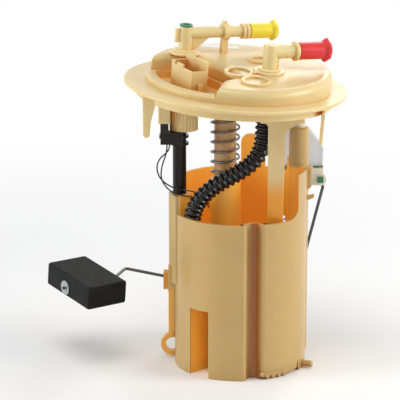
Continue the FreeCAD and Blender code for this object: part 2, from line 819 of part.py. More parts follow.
def make_spring_rod():
    top = rod_top(spring_column_x, 0)
    rod = cylinder(spring_column_x, 0, spring_rod_bottom, top, spring_rod_radius)
    rod = rod.makeChamfer(rod_end_chamfer, lying_edges(rod, spring_rod_bottom))
    return rod.cut(cylinder(spring_column_x, 0, spring_rod_bottom - 1, top - 6, spring_rod_radius - spring_rod_wall))


def make_side_rod():
    """The rod, with the stop ring that meets the lower end of the guide when the cover is at its highest."""
    top = rod_top(side_column_x, side_column_y)
    rod = cylinder(side_column_x, side_column_y, side_rod_bottom, top, side_rod_radius)
    rod = rod.makeChamfer(rod_end_chamfer, lying_edges(rod, side_rod_bottom))
    stop_top = side_column_top - guide_fit_length - side_rod_stop_gap
    stop = cylinder(side_column_x, side_column_y, stop_top - side_rod_stop_height, stop_top,
                    side_rod_radius + side_rod_stop_grow)
    return rod.fuse(stop)


def make_return_pipe():
    top = rod_top(pipe_x, pipe_y)
    pipe = cylinder(pipe_x, pipe_y, pipe_bottom, top, pipe_radius)
    rings = [tube(pipe_x, pipe_y, z, z + 1.6, pipe_radius + 1.7, pipe_radius - 0.5) for z in (154.2, 159.2)]
    shoulder = tube(pipe_x, pipe_y, pipe_socket_bottom - 3, pipe_socket_bottom, pipe_radius + 1.2, pipe_radius - 0.5)
    pipe = pipe.fuse(rings + [shoulder])
    return pipe.cut(cylinder(pipe_x, pipe_y, pipe_bottom - 1, top - 4, pipe_radius - pipe_wall)).removeSplitter()


def spring_seat_height():
    return cover_height(spring_column_x, 0) - cover_thickness - rod_socket_depth


def make_spring():
    bottom = spring_column_top + spring_wire_radius
    top = spring_seat_height() - spring_wire_radius
    helix = Part.makeHelix(spring_pitch, top - bottom, spring_radius)
    turn = 180.0 - 360.0 * (spring_left_turn_height - bottom) / spring_pitch
    helix.rotate(Vec(0, 0, 0), UP, turn)
    helix.translate(Vec(spring_column_x, 0, bottom))
    path = Part.Wire(helix.Edges)
    edge = path.Edges[0]
    start = edge.valueAt(edge.FirstParameter)
    along = edge.tangentAt(edge.FirstParameter)
    outwards = Vec(start.x - spring_column_x, start.y, 0).normalize()
    upwards = along.cross(outwards)
    corners = []
    for i in range(spring_wire_sides):
        angle = 2 * math.pi * i / spring_wire_sides
        corners.append(start + outwards * (spring_wire_radius * math.cos(angle))
                       + upwards * (spring_wire_radius * math.sin(angle)))
    section = Part.makePolygon(corners + corners[:1])
    return path.makePipeShell([section], True, True)


# The cover

def bay_solid(grow):
    """The space of the bay that is cut out of the dome for the connector, open to the front left."""
    corners = [Vec(x, y, -2 * cover_thickness) for x, y in bay_outline]
    start = (corners[-1] + corners[0]) * 0.5
    radii = [1.0] + [bay_round] * (len(corners) - 3) + [1.0, 1.0]
    wire = bent_path([start] + corners + [start], radii)
    if grow > 0:
        wire = wire.makeOffset2D(grow)
    return Part.Face(wire).extrude(Vec(0, 0, 40))


def dome_solid(shrink, bottom):
    """The dome filled solid. The front of its top slopes down; shrink moves every side inwards."""
    body = cylinder(dome_x, dome_y, bottom, dome_height - shrink, dome_radius - shrink)
    front = dome_y - dome_radius
    slope = Part.makePolygon([Vec(-90, dome_crease_y, dome_height - shrink), Vec(-90, front, dome_front_height - shrink),
                              Vec(-90, front - 20, dome_front_height - shrink), Vec(-90, front - 20, 60),
                              Vec(-90, dome_crease_y, 60), Vec(-90, dome_crease_y, dome_height - shrink)])
    body = body.cut(Part.Face(slope).extrude(Vec(180, 0, 0))).cut(bay_solid(shrink))
    if shrink > 0:
        return body
    rim = [e for e in body.Edges if e.BoundBox.ZMin > dome_front_height - 1 and not crease(e)]
    return body.makeFillet(dome_round, rim)


def crease(edge):
    box = edge.BoundBox
    return abs(box.YMin - dome_crease_y) < 1e-4 and abs(box.YMax - dome_crease_y) < 1e-4


def tray_plan(radius, inset):
    """Plan of the lens-shaped tray: the front is an arc about the cover's centre."""
    disc = cylinder(0, 0, 0, 20, radius)
    back = [(x - inset, y - inset) for x, y in tray_back[:3]] + [(x, y - inset) for x, y in tray_back[3:]]
    front = -cover_radius - 5
    bay = prism([(tray_right, front), (tray_right, -35.0 - inset)] + back + [(-cover_radius - 15, front)], 0, 20)
    lens = disc.common(bay)
    rounded = [e for e in upright_edges(lens) if e.firstVertex().Point.x < -50]
    return lens.makeFillet(tray_end_round - inset, rounded)


def shroud_point(along, across):
    """A point of the connector shroud: along its length and across its width, from its middle."""
    angle = math.radians(shroud_heading)
    return (shroud_x + along * math.cos(angle) - across * math.sin(angle),
            shroud_y + along * math.sin(angle) + across * math.cos(angle))


def oriented_block(along_low, along_high, across_low, across_high, bottom, top):
    corners = [(along_low, across_low), (along_high, across_low), (along_high, across_high), (along_low, across_high)]
    return prism([shroud_point(a, c) for a, c in corners], bottom, top)


def shroud_shell():
    """The connector shroud: four walls, the far one taller, and a stepped notch in the near one."""
    half_length = shroud_length / 2
    half_width = shroud_width / 2
    outer = oriented_block(-half_length, half_length, -half_width, half_width, tray_floor - 0.5, shroud_back_height)
    outer = outer.makeFillet(1.0, upright_edges(outer))
    inner = oriented_block(-half_length + shroud_wall, half_length - shroud_wall, -half_width + shroud_wall,
                           half_width - shroud_wall, tray_floor, shroud_back_height + 1)
    low = oriented_block(-half_length - 1, half_length + 1, -half_width - 1, half_width - shroud_wall,
                         shroud_front_height + shroud_step, shroud_back_height + 1)
    step_near = oriented_block(-half_length + 4, half_length + 1, -half_width - 1, half_width - shroud_wall,
                               shroud_front_height, shroud_front_height + shroud_step + 1)
    raised = oriented_block(-half_length + 8, -half_length + 16, -half_width - 1, -half_width + shroud_wall + 0.1,
                            shroud_front_height - 1, shroud_front_height + shroud_step + 2)
    keep = step_near.cut(raised)
    return outer.cut([inner, low, keep])


def terminal_blades():
    """Blades in the connector, and the pins of the socket below that the sensor plug goes on."""
    solids = []
    for i in range(blade_count):
        along = (i - (blade_count - 1) / 2) * blade_pitch
        blade = oriented_block(along - blade_width / 2, along + blade_width / 2, -blade_thickness / 2,
                               blade_thickness / 2, tray_floor - 0.8, tray_floor + blade_height)
        tip = lying_edges(blade, tray_floor + blade_height)
        solids.append(placed(blade.makeChamfer(0.2, tip)))
    for x, y in plug_pins():
        top = cover_height(x, y) - cover_thickness
        solids.append(block((x - pin_thickness / 2, y - pin_width / 2, plug_shoulder + plug_insert_length + 0.6),
                            (x + pin_thickness / 2, y + pin_width / 2, top + 0.6)))
    return solids


def plug_pins():
    """Places of the two pins in the socket of the sensor plug."""
    middle_x = (plug_left + plug_step) / 2
    middle_y = (plug_front + plug_back) / 2
    return [(middle_x, middle_y - pin_pitch / 2), (middle_x, middle_y + pin_pitch / 2)]


def weld_ring(x, y, height, tilt):
    """A shallow raised ring, left where a moulding gate or a spare port is closed off."""
    ring = tube(0, 0, -0.6, ring_height, ring_outer, ring_outer - ring_band)
    ring = ring.makeFillet(ring_round, lying_edges(ring, ring_height))
    ring.rotate(Vec(0, 0, 0), Vec(1, 0, 0), tilt)
    ring.translate(Vec(x, y, height))
    return ring


def slope_height(y):
    front = dome_y - dome_radius
    if y >= dome_crease_y:
        return dome_height
    return dome_height - (dome_height - dome_front_height) * (dome_crease_y - y) / (dome_crease_y - front)


def slope_tilt():
    front = dome_y - dome_radius
    return math.degrees(math.atan((dome_height - dome_front_height) / (dome_crease_y - front)))


def cover_plate():
    """The round plate with its collar, dome, bay, tray, shroud and rings, in the cover's own frame."""
    plate = cylinder(0, 0, -cover_thickness, 0, cover_radius)
    plate = plate.makeFillet(cover_edge_round, [e for e in plate.Edges if e.BoundBox.XLength > 10])
    collar = tube(0, 0, -collar_depth, -cover_thickness + 0.5, collar_radius, collar_radius - collar_wall)
    solid = plate.fuse([collar, dome_solid(0, -cover_thickness / 2)])
    tray = tray_plan(lip_radius, 0)
    tray = tray.common(cylinder(0, 0, 0, lip_height, cover_radius))
    tray = tray.makeFillet(lip_round, [e for e in lying_edges(tray, lip_height) if e.Length > 20])
    pocket = tray_plan(lip_radius - lip_width, pocket_inset)
    pocket.translate(Vec(0, 0, tray_floor))
    solid = solid.fuse(tray).cut(pocket)
    solid = solid.fuse(shroud_shell())
    nub = oriented_block(shroud_length / 2 + 0.5, shroud_length / 2 + 3, -1.5, 1.5, tray_floor, lip_height + 1)
    front_ring = weld_ring(11.9, -40.6, slope_height(-40.6), slope_tilt())
    back_ring = weld_ring(0.8, -24.0, slope_height(-24.0), slope_tilt())
    rear_ring = weld_ring(17.0, 9.5, dome_height, 0)
    stop = block((9.6, -27.4, slope_height(-26.5) - 0.8), (12.2, -24.8, slope_height(-26.5) + 2.2))
    return solid.fuse([nub, front_ring, back_ring, rear_ring, stop])


def left_leg():
    """The tapering leg under the left of the cover's edge, broad face to the front."""
    return placed(slab(left_leg_outline, leg_y - leg_thickness / 2, leg_y + leg_thickness / 2))


def right_leg():
    """The leg under the right of the cover's edge, thin side to the front."""
    half_top, half, half_tip = right_leg_top_width / 2, right_leg_width / 2, right_leg_tip_width / 2
    tip = -right_leg_length
    shoulder = -cover_thickness - 3.5
    outline = [(-half_top, 0), (half_top, 0), (half_top, -cover_thickness), (half, shoulder),
               (half_tip, tip + leg_tip_corner), (half_tip - leg_tip_corner, tip), (leg_tip_corner - half_tip, tip),
               (-half_tip, tip + leg_tip_corner), (-half, shoulder), (-half_top, -cover_thickness)]
    body = slab(outline, -leg_thickness / 2, leg_thickness / 2)
    body.rotate(Vec(0, 0, 0), UP, 90)
    body.translate(Vec(right_leg_x, leg_y, 0))
    return placed(body)


def strap():
    """The long flat strap that hangs into the pot, with its wide shoulder under the dome."""
    top = cover_height(strap_left, strap_front) + dome_height
    shoulder = cover_height(strap_left, strap_front) - cover_thickness - strap_shoulder_drop
    left, right = strap_left - strap_shoulder_left, strap_right + strap_shoulder_right
    outline = [(left, top), (right, top), (right, shoulder), (strap_right, shoulder),
               (strap_right - strap_taper, strap_tip + strap_tip_corner),
               (strap_right - strap_taper - strap_tip_corner, strap_tip), (strap_left + strap_tip_corner, strap_tip),
               (strap_left, strap_tip + strap_tip_corner), (strap_left, shoulder), (left, shoulder)]
    body = slab(outline, strap_front, strap_front + strap_thickness)
    for x, radius in ((strap_left, strap_left_round), (strap_right, strap_right_round)):
        inner = [e for e in lying_edges(body, shoulder) if e.BoundBox.YLength > 1 and abs(e.BoundBox.XMin - x) < 0.01]
        body = body.makeFillet(radius, inner)
    return body


def fluted(x, y, bottom, top, radius):
    """An upright boss with grooves down its side."""
    boss = cylinder(x, y, bottom, top, radius)
    grooves = []
    for i in range(flute_count):
        groove_x, groove_y = polar(x, y, radius + flute_radius / 3, 360.0 * i / flute_count)
        grooves.append(cylinder(groove_x, groove_y, bottom - 1, top + 1, flute_radius))
    return boss.cut(grooves)


def cover_sockets():
    """Bosses under the plate, upright like the rods that they hold."""
    spring_bottom = cover_height(spring_column_x, 0) - cover_thickness - rod_socket_depth
    side_bottom = side_column_top + cover_travel + side_socket_gap
    solids = [cylinder(spring_column_x, 0, spring_bottom, spring_bottom + boss_reach, spring_column_radius + 1.6),
              cylinder(side_column_x, side_column_y, side_bottom, side_bottom + boss_reach, side_rod_radius + 2.2),
              cylinder(pipe_x, pipe_y, pipe_socket_bottom, pipe_socket_bottom + 2 * boss_reach, pipe_socket_radius),
              fluted(pipe_lobe_x, pipe_lobe_y, pipe_socket_bottom, pipe_socket_bottom + 2 * boss_reach,
                     pipe_lobe_radius)]
    hose_x, hose_y = hose_route[0][0], hose_route[0][1]
    solids.append(cylinder(hose_x, hose_y, hose_route[0][2] + 0.2, hose_route[0][2] + boss_reach,
                           hose_radius + hose_socket_wall))
    solids.append(cylinder(hose_x, hose_y, spigot_tip, hose_route[0][2] + 1, spigot_radius))
    wall = plug_socket_wall
    inset = plug_step_inset - plug_fit
    socket = block((plug_left - wall, plug_front - wall, plug_shoulder + 0.2),
                   (plug_step + wall, plug_back + 0.4, cover_height(plug_step, plug_front) - 0.8))
    cuts = block((plug_left + inset, plug_front + inset, plug_shoulder - 1),
                 (plug_step - inset, plug_back - inset, plug_shoulder + plug_insert_length + 0.6))
    return solids + [socket.makeFillet(1.2, upright_edges(socket)).cut(cuts)]


def above_plate():
    """Everything above the middle of the plate."""
    return placed(cylinder(0, 0, -cover_thickness / 2, 60, cover_radius + 20))


def nozzle_bores():
    holes = []
    for x, y, radius in ((feed_x, feed_y, feed_bore_radius), (return_x, return_y, return_bore_radius)):
        holes.append(placed(cylinder(x, y, -cover_thickness - 3, dome_height + 1, radius)))
    hose_x, hose_y = hose_route[0][0], hose_route[0][1]
    holes.append(cylinder(hose_x, hose_y, spigot_tip - 1, cover_height(hose_x, hose_y) - 0.5, spigot_bore_radius))
    return holes


def make_cover():
    below = [left_leg(), right_leg(), strap()] + cover_sockets()
    hollow = placed(dome_solid(dome_wall, -cover_thickness - 1)).cut(below)
    solid = placed(cover_plate()).cut(hollow)
    for part in below:
        solid = solid.fuse(part.cut(above_plate()))
    rods = [cylinder(x, y, bottom, rod_top(x, y), radius) for x, y, bottom, radius in (
        (spring_column_x, 0, spring_rod_bottom, spring_rod_radius),
        (side_column_x, side_column_y, side_rod_bottom, side_rod_radius), (pipe_x, pipe_y, pipe_bottom, pipe_radius))]
    return solid.cut(rods + nozzle_bores() + terminal_blades())


# The nozzles and their caps, each in the cover's frame along its own axis

def nozzle_axis():
    return Vec(*polar(0, 0, 1, nozzle_heading), 0)


def along_nozzle(x, y, height, start, length, radius):
    begin = Vec(x, y, height) + nozzle_axis() * start
    return Part.makeCylinder(radius, length, begin, nozzle_axis())


def weld_base(x, y, surface, tilt):
    base = cylinder(0, 0, 0, weld_base_height, weld_base_radius)
    base = base.makeChamfer(0.4, lying_edges(base, weld_base_height))
    step = cylinder(0, 0, 0, weld_base_height + weld_step_height, weld_step_radius)
    step = step.makeChamfer(0.5, lying_edges(step, weld_base_height + weld_step_height))
    solid = base.fuse(step)
    solid.rotate(Vec(0, 0, 0), Vec(1, 0, 0), tilt)
    solid.translate(Vec(x, y, surface))
    return solid


def rounded_tower(x, y, bottom, top, radius):
    tower = cylinder(x, y, bottom, top, radius)
    return tower.makeFillet(1.0, lying_edges(tower, top))


def make_feed_nozzle():
    top = feed_axis_height + tower_top_over_axis
    tower = rounded_tower(feed_x, feed_y, dome_height, top, feed_tower_radius)
    pipe = along_nozzle(feed_x, feed_y, feed_axis_height, 0, feed_length + feed_cap_length - 3, feed_tube_radius)
    beads = [along_nozzle(feed_x, feed_y, feed_axis_height, feed_length - 2 * bead_width - 1.2 + i * (bead_width + 0.6),
                          bead_width, bead_radius) for i in range(2)]
    back_rib = oriented_rib(feed_x, feed_y, -7.6, -3.5, 2.0, dome_height + 8, top - 1.6)
    gusset = gusset_plate(feed_x, feed_y, dome_height + weld_base_height + weld_step_height, feed_axis_height)
    strut = strut_plate()
    solid = tower.fuse([weld_base(feed_x, feed_y, dome_height, 0), pipe, back_rib, gusset, strut] + beads)
    bore = along_nozzle(feed_x, feed_y, feed_axis_height, 0, feed_length + feed_cap_length, feed_bore_radius)
    riser = cylinder(feed_x, feed_y, dome_height - 1, feed_axis_height, feed_bore_radius)
    return placed(solid.cut([bore, riser]))


def oriented_rib(x, y, start, end, thickness, bottom, top):
    axis = nozzle_axis()
    side = Vec(-axis.y, axis.x, 0) * (thickness / 2)
    begin = Vec(x, y, 0) + axis * start
    finish = Vec(x, y, 0) + axis * end
    corners = [begin + side, finish + side, finish - side, begin - side]
    return prism([(c.x, c.y) for c in corners], bottom, top)


def gusset_plate(x, y, bottom, top):
    """The web under the tube, beside the tower."""
    axis = nozzle_axis()
    side = Vec(-axis.y, axis.x, 0) * (gusset_thickness / 2)
    base = Vec(x, y, 0)
    points = [base + axis * gusset_start + UP * bottom, base + axis * gusset_foot + UP * bottom,
              base + axis * gusset_end + UP * top, base + axis * gusset_start + UP * top]
    wire = Part.makePolygon([p - side for p in points + points[:1]])
    return Part.Face(wire).extrude(side * 2)


def strut_plate():
    """The post that carries the long feed tube, with the ring that goes round it."""
    post = oriented_rib(feed_x, feed_y, strut_along - strut_thickness / 2, strut_along + strut_thickness / 2, 4.4,
                        dome_height, feed_axis_height)
    ring = along_nozzle(feed_x, feed_y, feed_axis_height, strut_along - strut_thickness / 2, strut_thickness,
                        feed_tube_radius + 1.8)
    crown = oriented_rib(feed_x, feed_y, strut_along - strut_thickness / 2, strut_along + 0.6, 3.0,
                         feed_axis_height, feed_axis_height + feed_tube_radius + 3.4)
    return post.fuse([ring, crown])


def make_return_nozzle():
    top = return_axis_height + tower_top_over_axis + 0.6
    surface = slope_height(return_y)
    tower = rounded_tower(return_x, return_y, surface + weld_base_height, top, return_tower_radius)
    pipe = along_nozzle(return_x, return_y, return_axis_height, 0, return_length + return_cap_length - 3,
                        return_tube_radius)
    ring = along_nozzle(return_x, return_y, return_axis_height, return_length - collar_ring_width - 0.4,
                        collar_ring_width, collar_ring_radius)
    ring = ring.makeFillet(0.9, [e for e in ring.Edges if e.Length > 20])
    rib = oriented_rib(return_x, return_y, 3.6, 6.4, 2.4, surface + 1, return_axis_height)
    solid = tower.fuse([weld_base(return_x, return_y, surface, slope_tilt()), pipe, ring, rib])
    bore = along_nozzle(return_x, return_y, return_axis_height, 0, return_length + return_cap_length,
                        return_bore_radius)
    riser = cylinder(return_x, return_y, surface - 3, return_axis_height, return_bore_radius)
    return placed(solid.cut([bore, riser]).removeSplitter())


def make_green_ring():
    top = feed_axis_height + tower_top_over_axis
    ring = tube(feed_x, feed_y, top, top + green_ring_height, feed_tower_radius, feed_tower_radius - 1.8)
    return placed(ring.makeFillet(0.4, lying_edges(ring, top + green_ring_height)))


def transport_cap(x, y, height, start, length, tube_radius, head_radius):
    """A thin cap with a closed, six-sided pull head, pushed over a nozzle."""
    inner = tube_radius + cap_clearance
    outer = inner + cap_wall
    shell = along_nozzle(x, y, height, start, length, outer)
    axis = nozzle_axis()
    side = Vec(-axis.y, axis.x, 0)
    base = Vec(x, y, height) + axis * (start + length - cap_head_length)
    sections = []
    for step, radius in ((0, head_radius - cap_head_taper), (cap_head_length * 0.45, head_radius),
                         (cap_head_length * 0.75, head_radius), (cap_head_length, head_radius - cap_head_taper)):
        corners = [base + axis * step + side * (radius * math.cos(math.radians(60 * i + 30)))
                   + UP * (radius * math.sin(math.radians(60 * i + 30))) for i in range(6)]
        sections.append(Part.makePolygon(corners + corners[:1]))
    head = Part.makeLoft(sections, True, True)
    hollow = along_nozzle(x, y, height, start - 1, length - 1.4, inner)
    return placed(shell.fuse(head).cut(hollow).removeSplitter())


def make_feed_cap():
    return transport_cap(feed_x, feed_y, feed_axis_height, feed_length + 0.3, feed_cap_length, feed_tube_radius,
                         feed_cap_head)


def make_return_cap():
    return transport_cap(return_x, return_y, return_axis_height, return_length + 0.3, return_cap_length,
                         return_tube_radius, return_cap_head)


# The sensor plug under the cover

def make_harness_plug():
    """The plug of the sensor's wires: a low right part and a taller left part that goes into the socket."""
    low = block((plug_left, plug_front, plug_bottom), (plug_right, plug_back, plug_step_height))
    low = low.makeFillet(0.8, upright_edges(low))
    tall = block((plug_left, plug_front, plug_bottom + 1), (plug_step, plug_back, plug_shoulder))
    tall = tall.makeFillet(0.8, upright_edges(tall))
    insert = block((plug_left + plug_step_inset, plug_front + plug_step_inset, plug_shoulder - 0.5),
                   (plug_step - plug_step_inset, plug_back - plug_step_inset, plug_shoulder + plug_insert_length))
    band = block((plug_left - 0.7, plug_front - 0.7, plug_bottom + 4.4),
                 (plug_right + 0.4, plug_back + 0.1, plug_bottom + 6.0))
    ribs = []
    for i in range(plug_rib_count):
        x = plug_left + 1.2 + i * plug_rib_pitch
        ribs.append(block((x, plug_front - 0.6, plug_bottom + 0.6), (x + 0.9, plug_front + 0.5, plug_bottom + 4.6)))
    holes = []
    for x, y in plug_pins():
        holes.append(block((x - pin_thickness / 2 - pin_clearance, y - pin_width / 2 - pin_clearance,
                            plug_shoulder + 1), (x + pin_thickness / 2 + pin_clearance,
                                                 y + pin_width / 2 + pin_clearance, plug_shoulder + 20)))
    return low.fuse([tall, insert, band] + ribs).cut(holes).removeSplitter()


# The float arm and the float

def arm_height_at(x):
    """Height of the long run of the arm behind the pot, at a place along X."""
    left, right = arm_route[3], arm_route[2]
    return left[2] + (right[2] - left[2]) * (x - left[0]) / (right[0] - left[0])


def arm_points():
    points = [Vec(*p) for p in arm_route]
    outwards = (points[-1] - points[-2]).normalize()
    return points[:-1] + [points[-1] + outwards * arm_end_length]


def make_float_arm():
    points = arm_points()
    path = bent_path(points, [arm_bend_radius] * (len(points) - 2))
    return swept(path, arm_radius)


def float_frame():
    """Axes of the float: along the wire's bore, along the float's length and up out of its top face."""
    points = [Vec(*p) for p in arm_route]
    bore = (points[-2] - points[-1]).normalize()
    level = Vec(bore.y, -bore.x, 0)
    dip = math.radians(float_nose_down)
    lengthwise = level * math.cos(dip) - UP * math.sin(dip)
    return points[-1], bore, lengthwise, bore.cross(lengthwise) * -1


def make_float():
    end, bore, lengthwise, upwards = float_frame()
    body = Part.makeBox(float_length, float_width, float_height)
    body = body.makeFillet(float_round, body.Edges)
    body.translate(Vec(-float_bore_share * float_length, 0, -float_bore_height))
    hole = Part.makeCylinder(arm_radius + float_bore_clearance, float_width + 2, Vec(0, -1, 0), Vec(0, 1, 0))
    body = body.cut(hole)
    matrix = FreeCAD.Matrix(lengthwise.x, bore.x, upwards.x, end.x, lengthwise.y, bore.y, upwards.y, end.y,
                            lengthwise.z, bore.z, upwards.z, end.z, 0, 0, 0, 1)
    body.Placement = FreeCAD.Placement(matrix)
    return body


def make_float_retainer():
    """The domed push-on washer that keeps the float on the arm."""
    end, bore, lengthwise, upwards = float_frame()
    start = end - bore * retainer_crown
    washer = Part.makeCylinder(retainer_radius, retainer_thickness, end - bore * retainer_thickness, bore)
    crown = Part.makeCylinder(retainer_radius * retainer_crown_share, retainer_crown, start, bore)
    hole = Part.makeCylinder(arm_radius + retainer_grip, 4, end - bore * 2, bore)
    return washer.fuse(crown).cut(hole).removeSplitter()


# The level sensor

def make_sensor_bracket():
    """The lower part of the sensor's housing: the clip on the rails, the card's back plate and the pivot ear."""
    left = sensor_rail_left - sensor_housing_margin
    outline = [(left, sensor_rail_bottom - 2), (sensor_rail_right + sensor_housing_margin, sensor_rail_bottom - 2),
               (sensor_rail_right + 4, sensor_rail_bottom + 8), (pivot_x - 5.5, pivot_z - 4.2),
               (pivot_x, pivot_z - 4.2), (sensor_bracket_right, pivot_z + 5.2),
               (sensor_bracket_right, sensor_seal_height), (left, sensor_seal_height)]
    plate = slab(outline, sensor_front, sensor_back)
    ear = Part.makeCylinder(pivot_ear_radius, sensor_back - sensor_front, Vec(pivot_x, sensor_front, pivot_z),
                            Vec(0, 1, 0))
    bearing = Part.makeCylinder(hub_radius + hub_clearance, 20, Vec(pivot_x, sensor_front - 5, pivot_z), Vec(0, 1, 0))
    clip = block((sensor_rail_left + 2.2, sensor_front - 2.6, sensor_rail_bottom + 2.2),
                 (sensor_rail_right - 2.2, sensor_front + 0.5, sensor_rail_bottom + 4.6))
    face = block((pivot_x - 9.5, sensor_front - 1.6, pivot_z + 4.4),
                 (sensor_bracket_right, sensor_front + 0.5, sensor_seal_height - 0.8))
    return plate.fuse([ear, clip, face]).cut(bearing).removeSplitter()


def make_sensor_seal():
    return block((sensor_rail_left - 1.0, sensor_front - 1.8, sensor_seal_height),
                 (sensor_bracket_right, sensor_back + 0.2, sensor_seal_height + sensor_seal_thickness))


def make_sensor_cover():
    """The milky upper part of the housing, with its sloping shoulder."""
    bottom = sensor_seal_height + sensor_seal_thickness
    left = sensor_rail_left - sensor_housing_margin
    outline = [(left, bottom), (sensor_cover_right - 0.4, bottom), (sensor_cover_right, sensor_slope_bottom[1] - 4.8),
               sensor_slope_bottom, sensor_slope_top, (sensor_slope_top[0] - 2.8, sensor_cover_top),
               (sensor_rail_left + 4, sensor_cover_top), (left, sensor_cover_top - sensor_cover_left_drop)]
    shell = slab(outline, sensor_front - 1.4, sensor_back)
    shell = shell.makeFillet(0.9, [e for e in shell.Edges if e.BoundBox.YLength < 0.01])
    wire = Part.makePolygon([Vec(x, sensor_front, z) for x, z in outline + outline[:1]])
    hollow = Part.Face(wire.makeOffset2D(-sensor_cover_wall)).extrude(Vec(0, sensor_back - sensor_front + 1, 0))
    return shell.cut(hollow)


def make_resistor_card():
    inner = Part.makeCylinder(card_inner_radius, card_thickness, Vec(pivot_x, sensor_back, pivot_z), Vec(0, 1, 0))
    outer = Part.makeCylinder(card_outer_radius, card_thickness, Vec(pivot_x, sensor_back, pivot_z), Vec(0, 1, 0))
    reach = card_outer_radius + 5
    points = [(pivot_x, pivot_z)]
    for angle in (card_start_angle, (card_start_angle + card_end_angle) / 2, card_end_angle):
        points.append(polar(pivot_x, pivot_z, reach, angle))
    wedge = slab(points, sensor_back - 1, sensor_back + card_thickness + 1)
    housing = slab([(20, 90), (70, 90), (70, sensor_seal_height - 0.3), (20, sensor_seal_height - 0.3)],
                   sensor_back - 1, sensor_back + card_thickness + 1)
    return outer.cut(inner).common(wedge).common(housing)


def make_wire_holder():
    """The green hub that turns in the ear and grips the top of the float arm."""
    hub = Part.makeCylinder(hub_radius, holder_back - sensor_front + 1.5, Vec(pivot_x, sensor_front - 1.5, pivot_z),
                            Vec(0, 1, 0))
    head = block((pivot_x - hub_head_width / 2, sensor_front - 1.5, pivot_z - hub_head_height / 2),
                 (pivot_x + hub_head_width / 2, sensor_front - 1.5 + hub_head_thickness,
                  pivot_z + hub_head_height / 2))
    top, bend = Vec(*arm_route[0]), Vec(*arm_route[1])
    down = (bend - top).normalize()
    side = Vec(-down.z, 0, down.x) * (grip_width / 2)
    corners = [top - down * 4 + side, top - down * 4 - side, top + down * 5.5 - side, top + down * 5.5 + side]
    grip = slab([(c.x, c.z) for c in corners], holder_front, holder_back)
    grip = grip.makeFillet(0.6, [e for e in grip.Edges if e.BoundBox.YLength > 2])
    return hub.fuse([head, grip]).cut(make_float_arm()).removeSplitter()


def make_wiper():
    """The thin contact arm that slides over the resistor card."""
    front = sensor_back + card_thickness + wiper_gap
    tip = polar(pivot_x, pivot_z, wiper_length, wiper_angle)
    root = polar(pivot_x, pivot_z, hub_radius + 0.1, wiper_angle)
    side = Vec(root[1] - tip[1], 0, tip[0] - root[0]).normalize()
    half_root, half_tip = 1.8, 1.1
    outline = [(root[0] + side.x * half_root, root[1] + side.z * half_root),
               (tip[0] + side.x * half_tip, tip[1] + side.z * half_tip),
               (tip[0] - side.x * half_tip, tip[1] - side.z * half_tip),
               (root[0] - side.x * half_root, root[1] - side.z * half_root)]
    blade = slab(outline, front, front + wiper_thickness)
    collar = Part.makeCylinder(hub_radius + 2.0, wiper_thickness, Vec(pivot_x, front, pivot_z), Vec(0, 1, 0))
    hole = Part.makeCylinder(hub_radius, 5, Vec(pivot_x, front - 1, pivot_z), Vec(0, 1, 0))
    return blade.fuse(collar).cut(hole).removeSplitter()


def group(solids):
    return Part.makeCompound(solids)


def main():
    nodes = {
        "reservoir_pot": make_reservoir_pot(),
        "bottom_cover": make_bottom_cover(),
        "inlet_screen": make_inlet_screen(),
        "inlet_valve": make_inlet_valve(),
        "pickup_body": make_pickup_body(),
        "pickup_screen": make_pickup_screen(),
        "corrugated_hose": make_corrugated_hose(),
        "coil_spring": make_spring(),
        "spring_guide_rod": make_spring_rod(),
        "side_guide_rod": make_side_rod(),
        "return_pipe": make_return_pipe(),
        "flange_cover": make_cover(),
        "connector_blades": group(terminal_blades()),
        "feed_nozzle": make_feed_nozzle(),
        "return_nozzle": make_return_nozzle(),
        "feed_marker_ring": make_green_ring(),
        "feed_cap": make_feed_cap(),
        "return_cap": make_return_cap(),
        "harness_plug": make_harness_plug(),
        "sensor_wire_a": cord("sensor_wire_a", sensor_wire_a_route, sensor_wire_radius),
        "sensor_wire_b": cord("sensor_wire_b", sensor_wire_b_route, sensor_wire_radius),
        "sensor_bracket": make_sensor_bracket(),
        "sensor_seal": make_sensor_seal(),
        "sensor_cover": make_sensor_cover(),
        "resistor_card": make_resistor_card(),
        "wire_holder": make_wire_holder(),
        "wiper": make_wiper(),
        "float_arm": make_float_arm(),
        "float": make_float(),
        "float_retainer": make_float_retainer(),
    }
    for name, shape in nodes.items():
        box = shape.BoundBox
        print(name, len(shape.Solids), shape.isValid(), round(shape.Volume, 1),
              [round(v, 1) for v in (box.XMin, box.YMin, box.ZMin, box.XMax, box.YMax, box.ZMax)])
        shape.exportStep("parts/" + name + ".step")


main()
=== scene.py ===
# %% [markdown]
# A fuel tank sending unit, dressed for a studio picture. The solids come packed from the CAD model, so this
# lesson adds what a solid modeller leaves out: the corrugated skin of the hose, the round wire of the
# spring and of the two sensor leads, a blank label, and a procedural material for every piece. First the
# imported frame is loaded.

# %% Load the imported frame
import json
import math
import bpy
from mathutils import Euler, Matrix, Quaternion, Vector

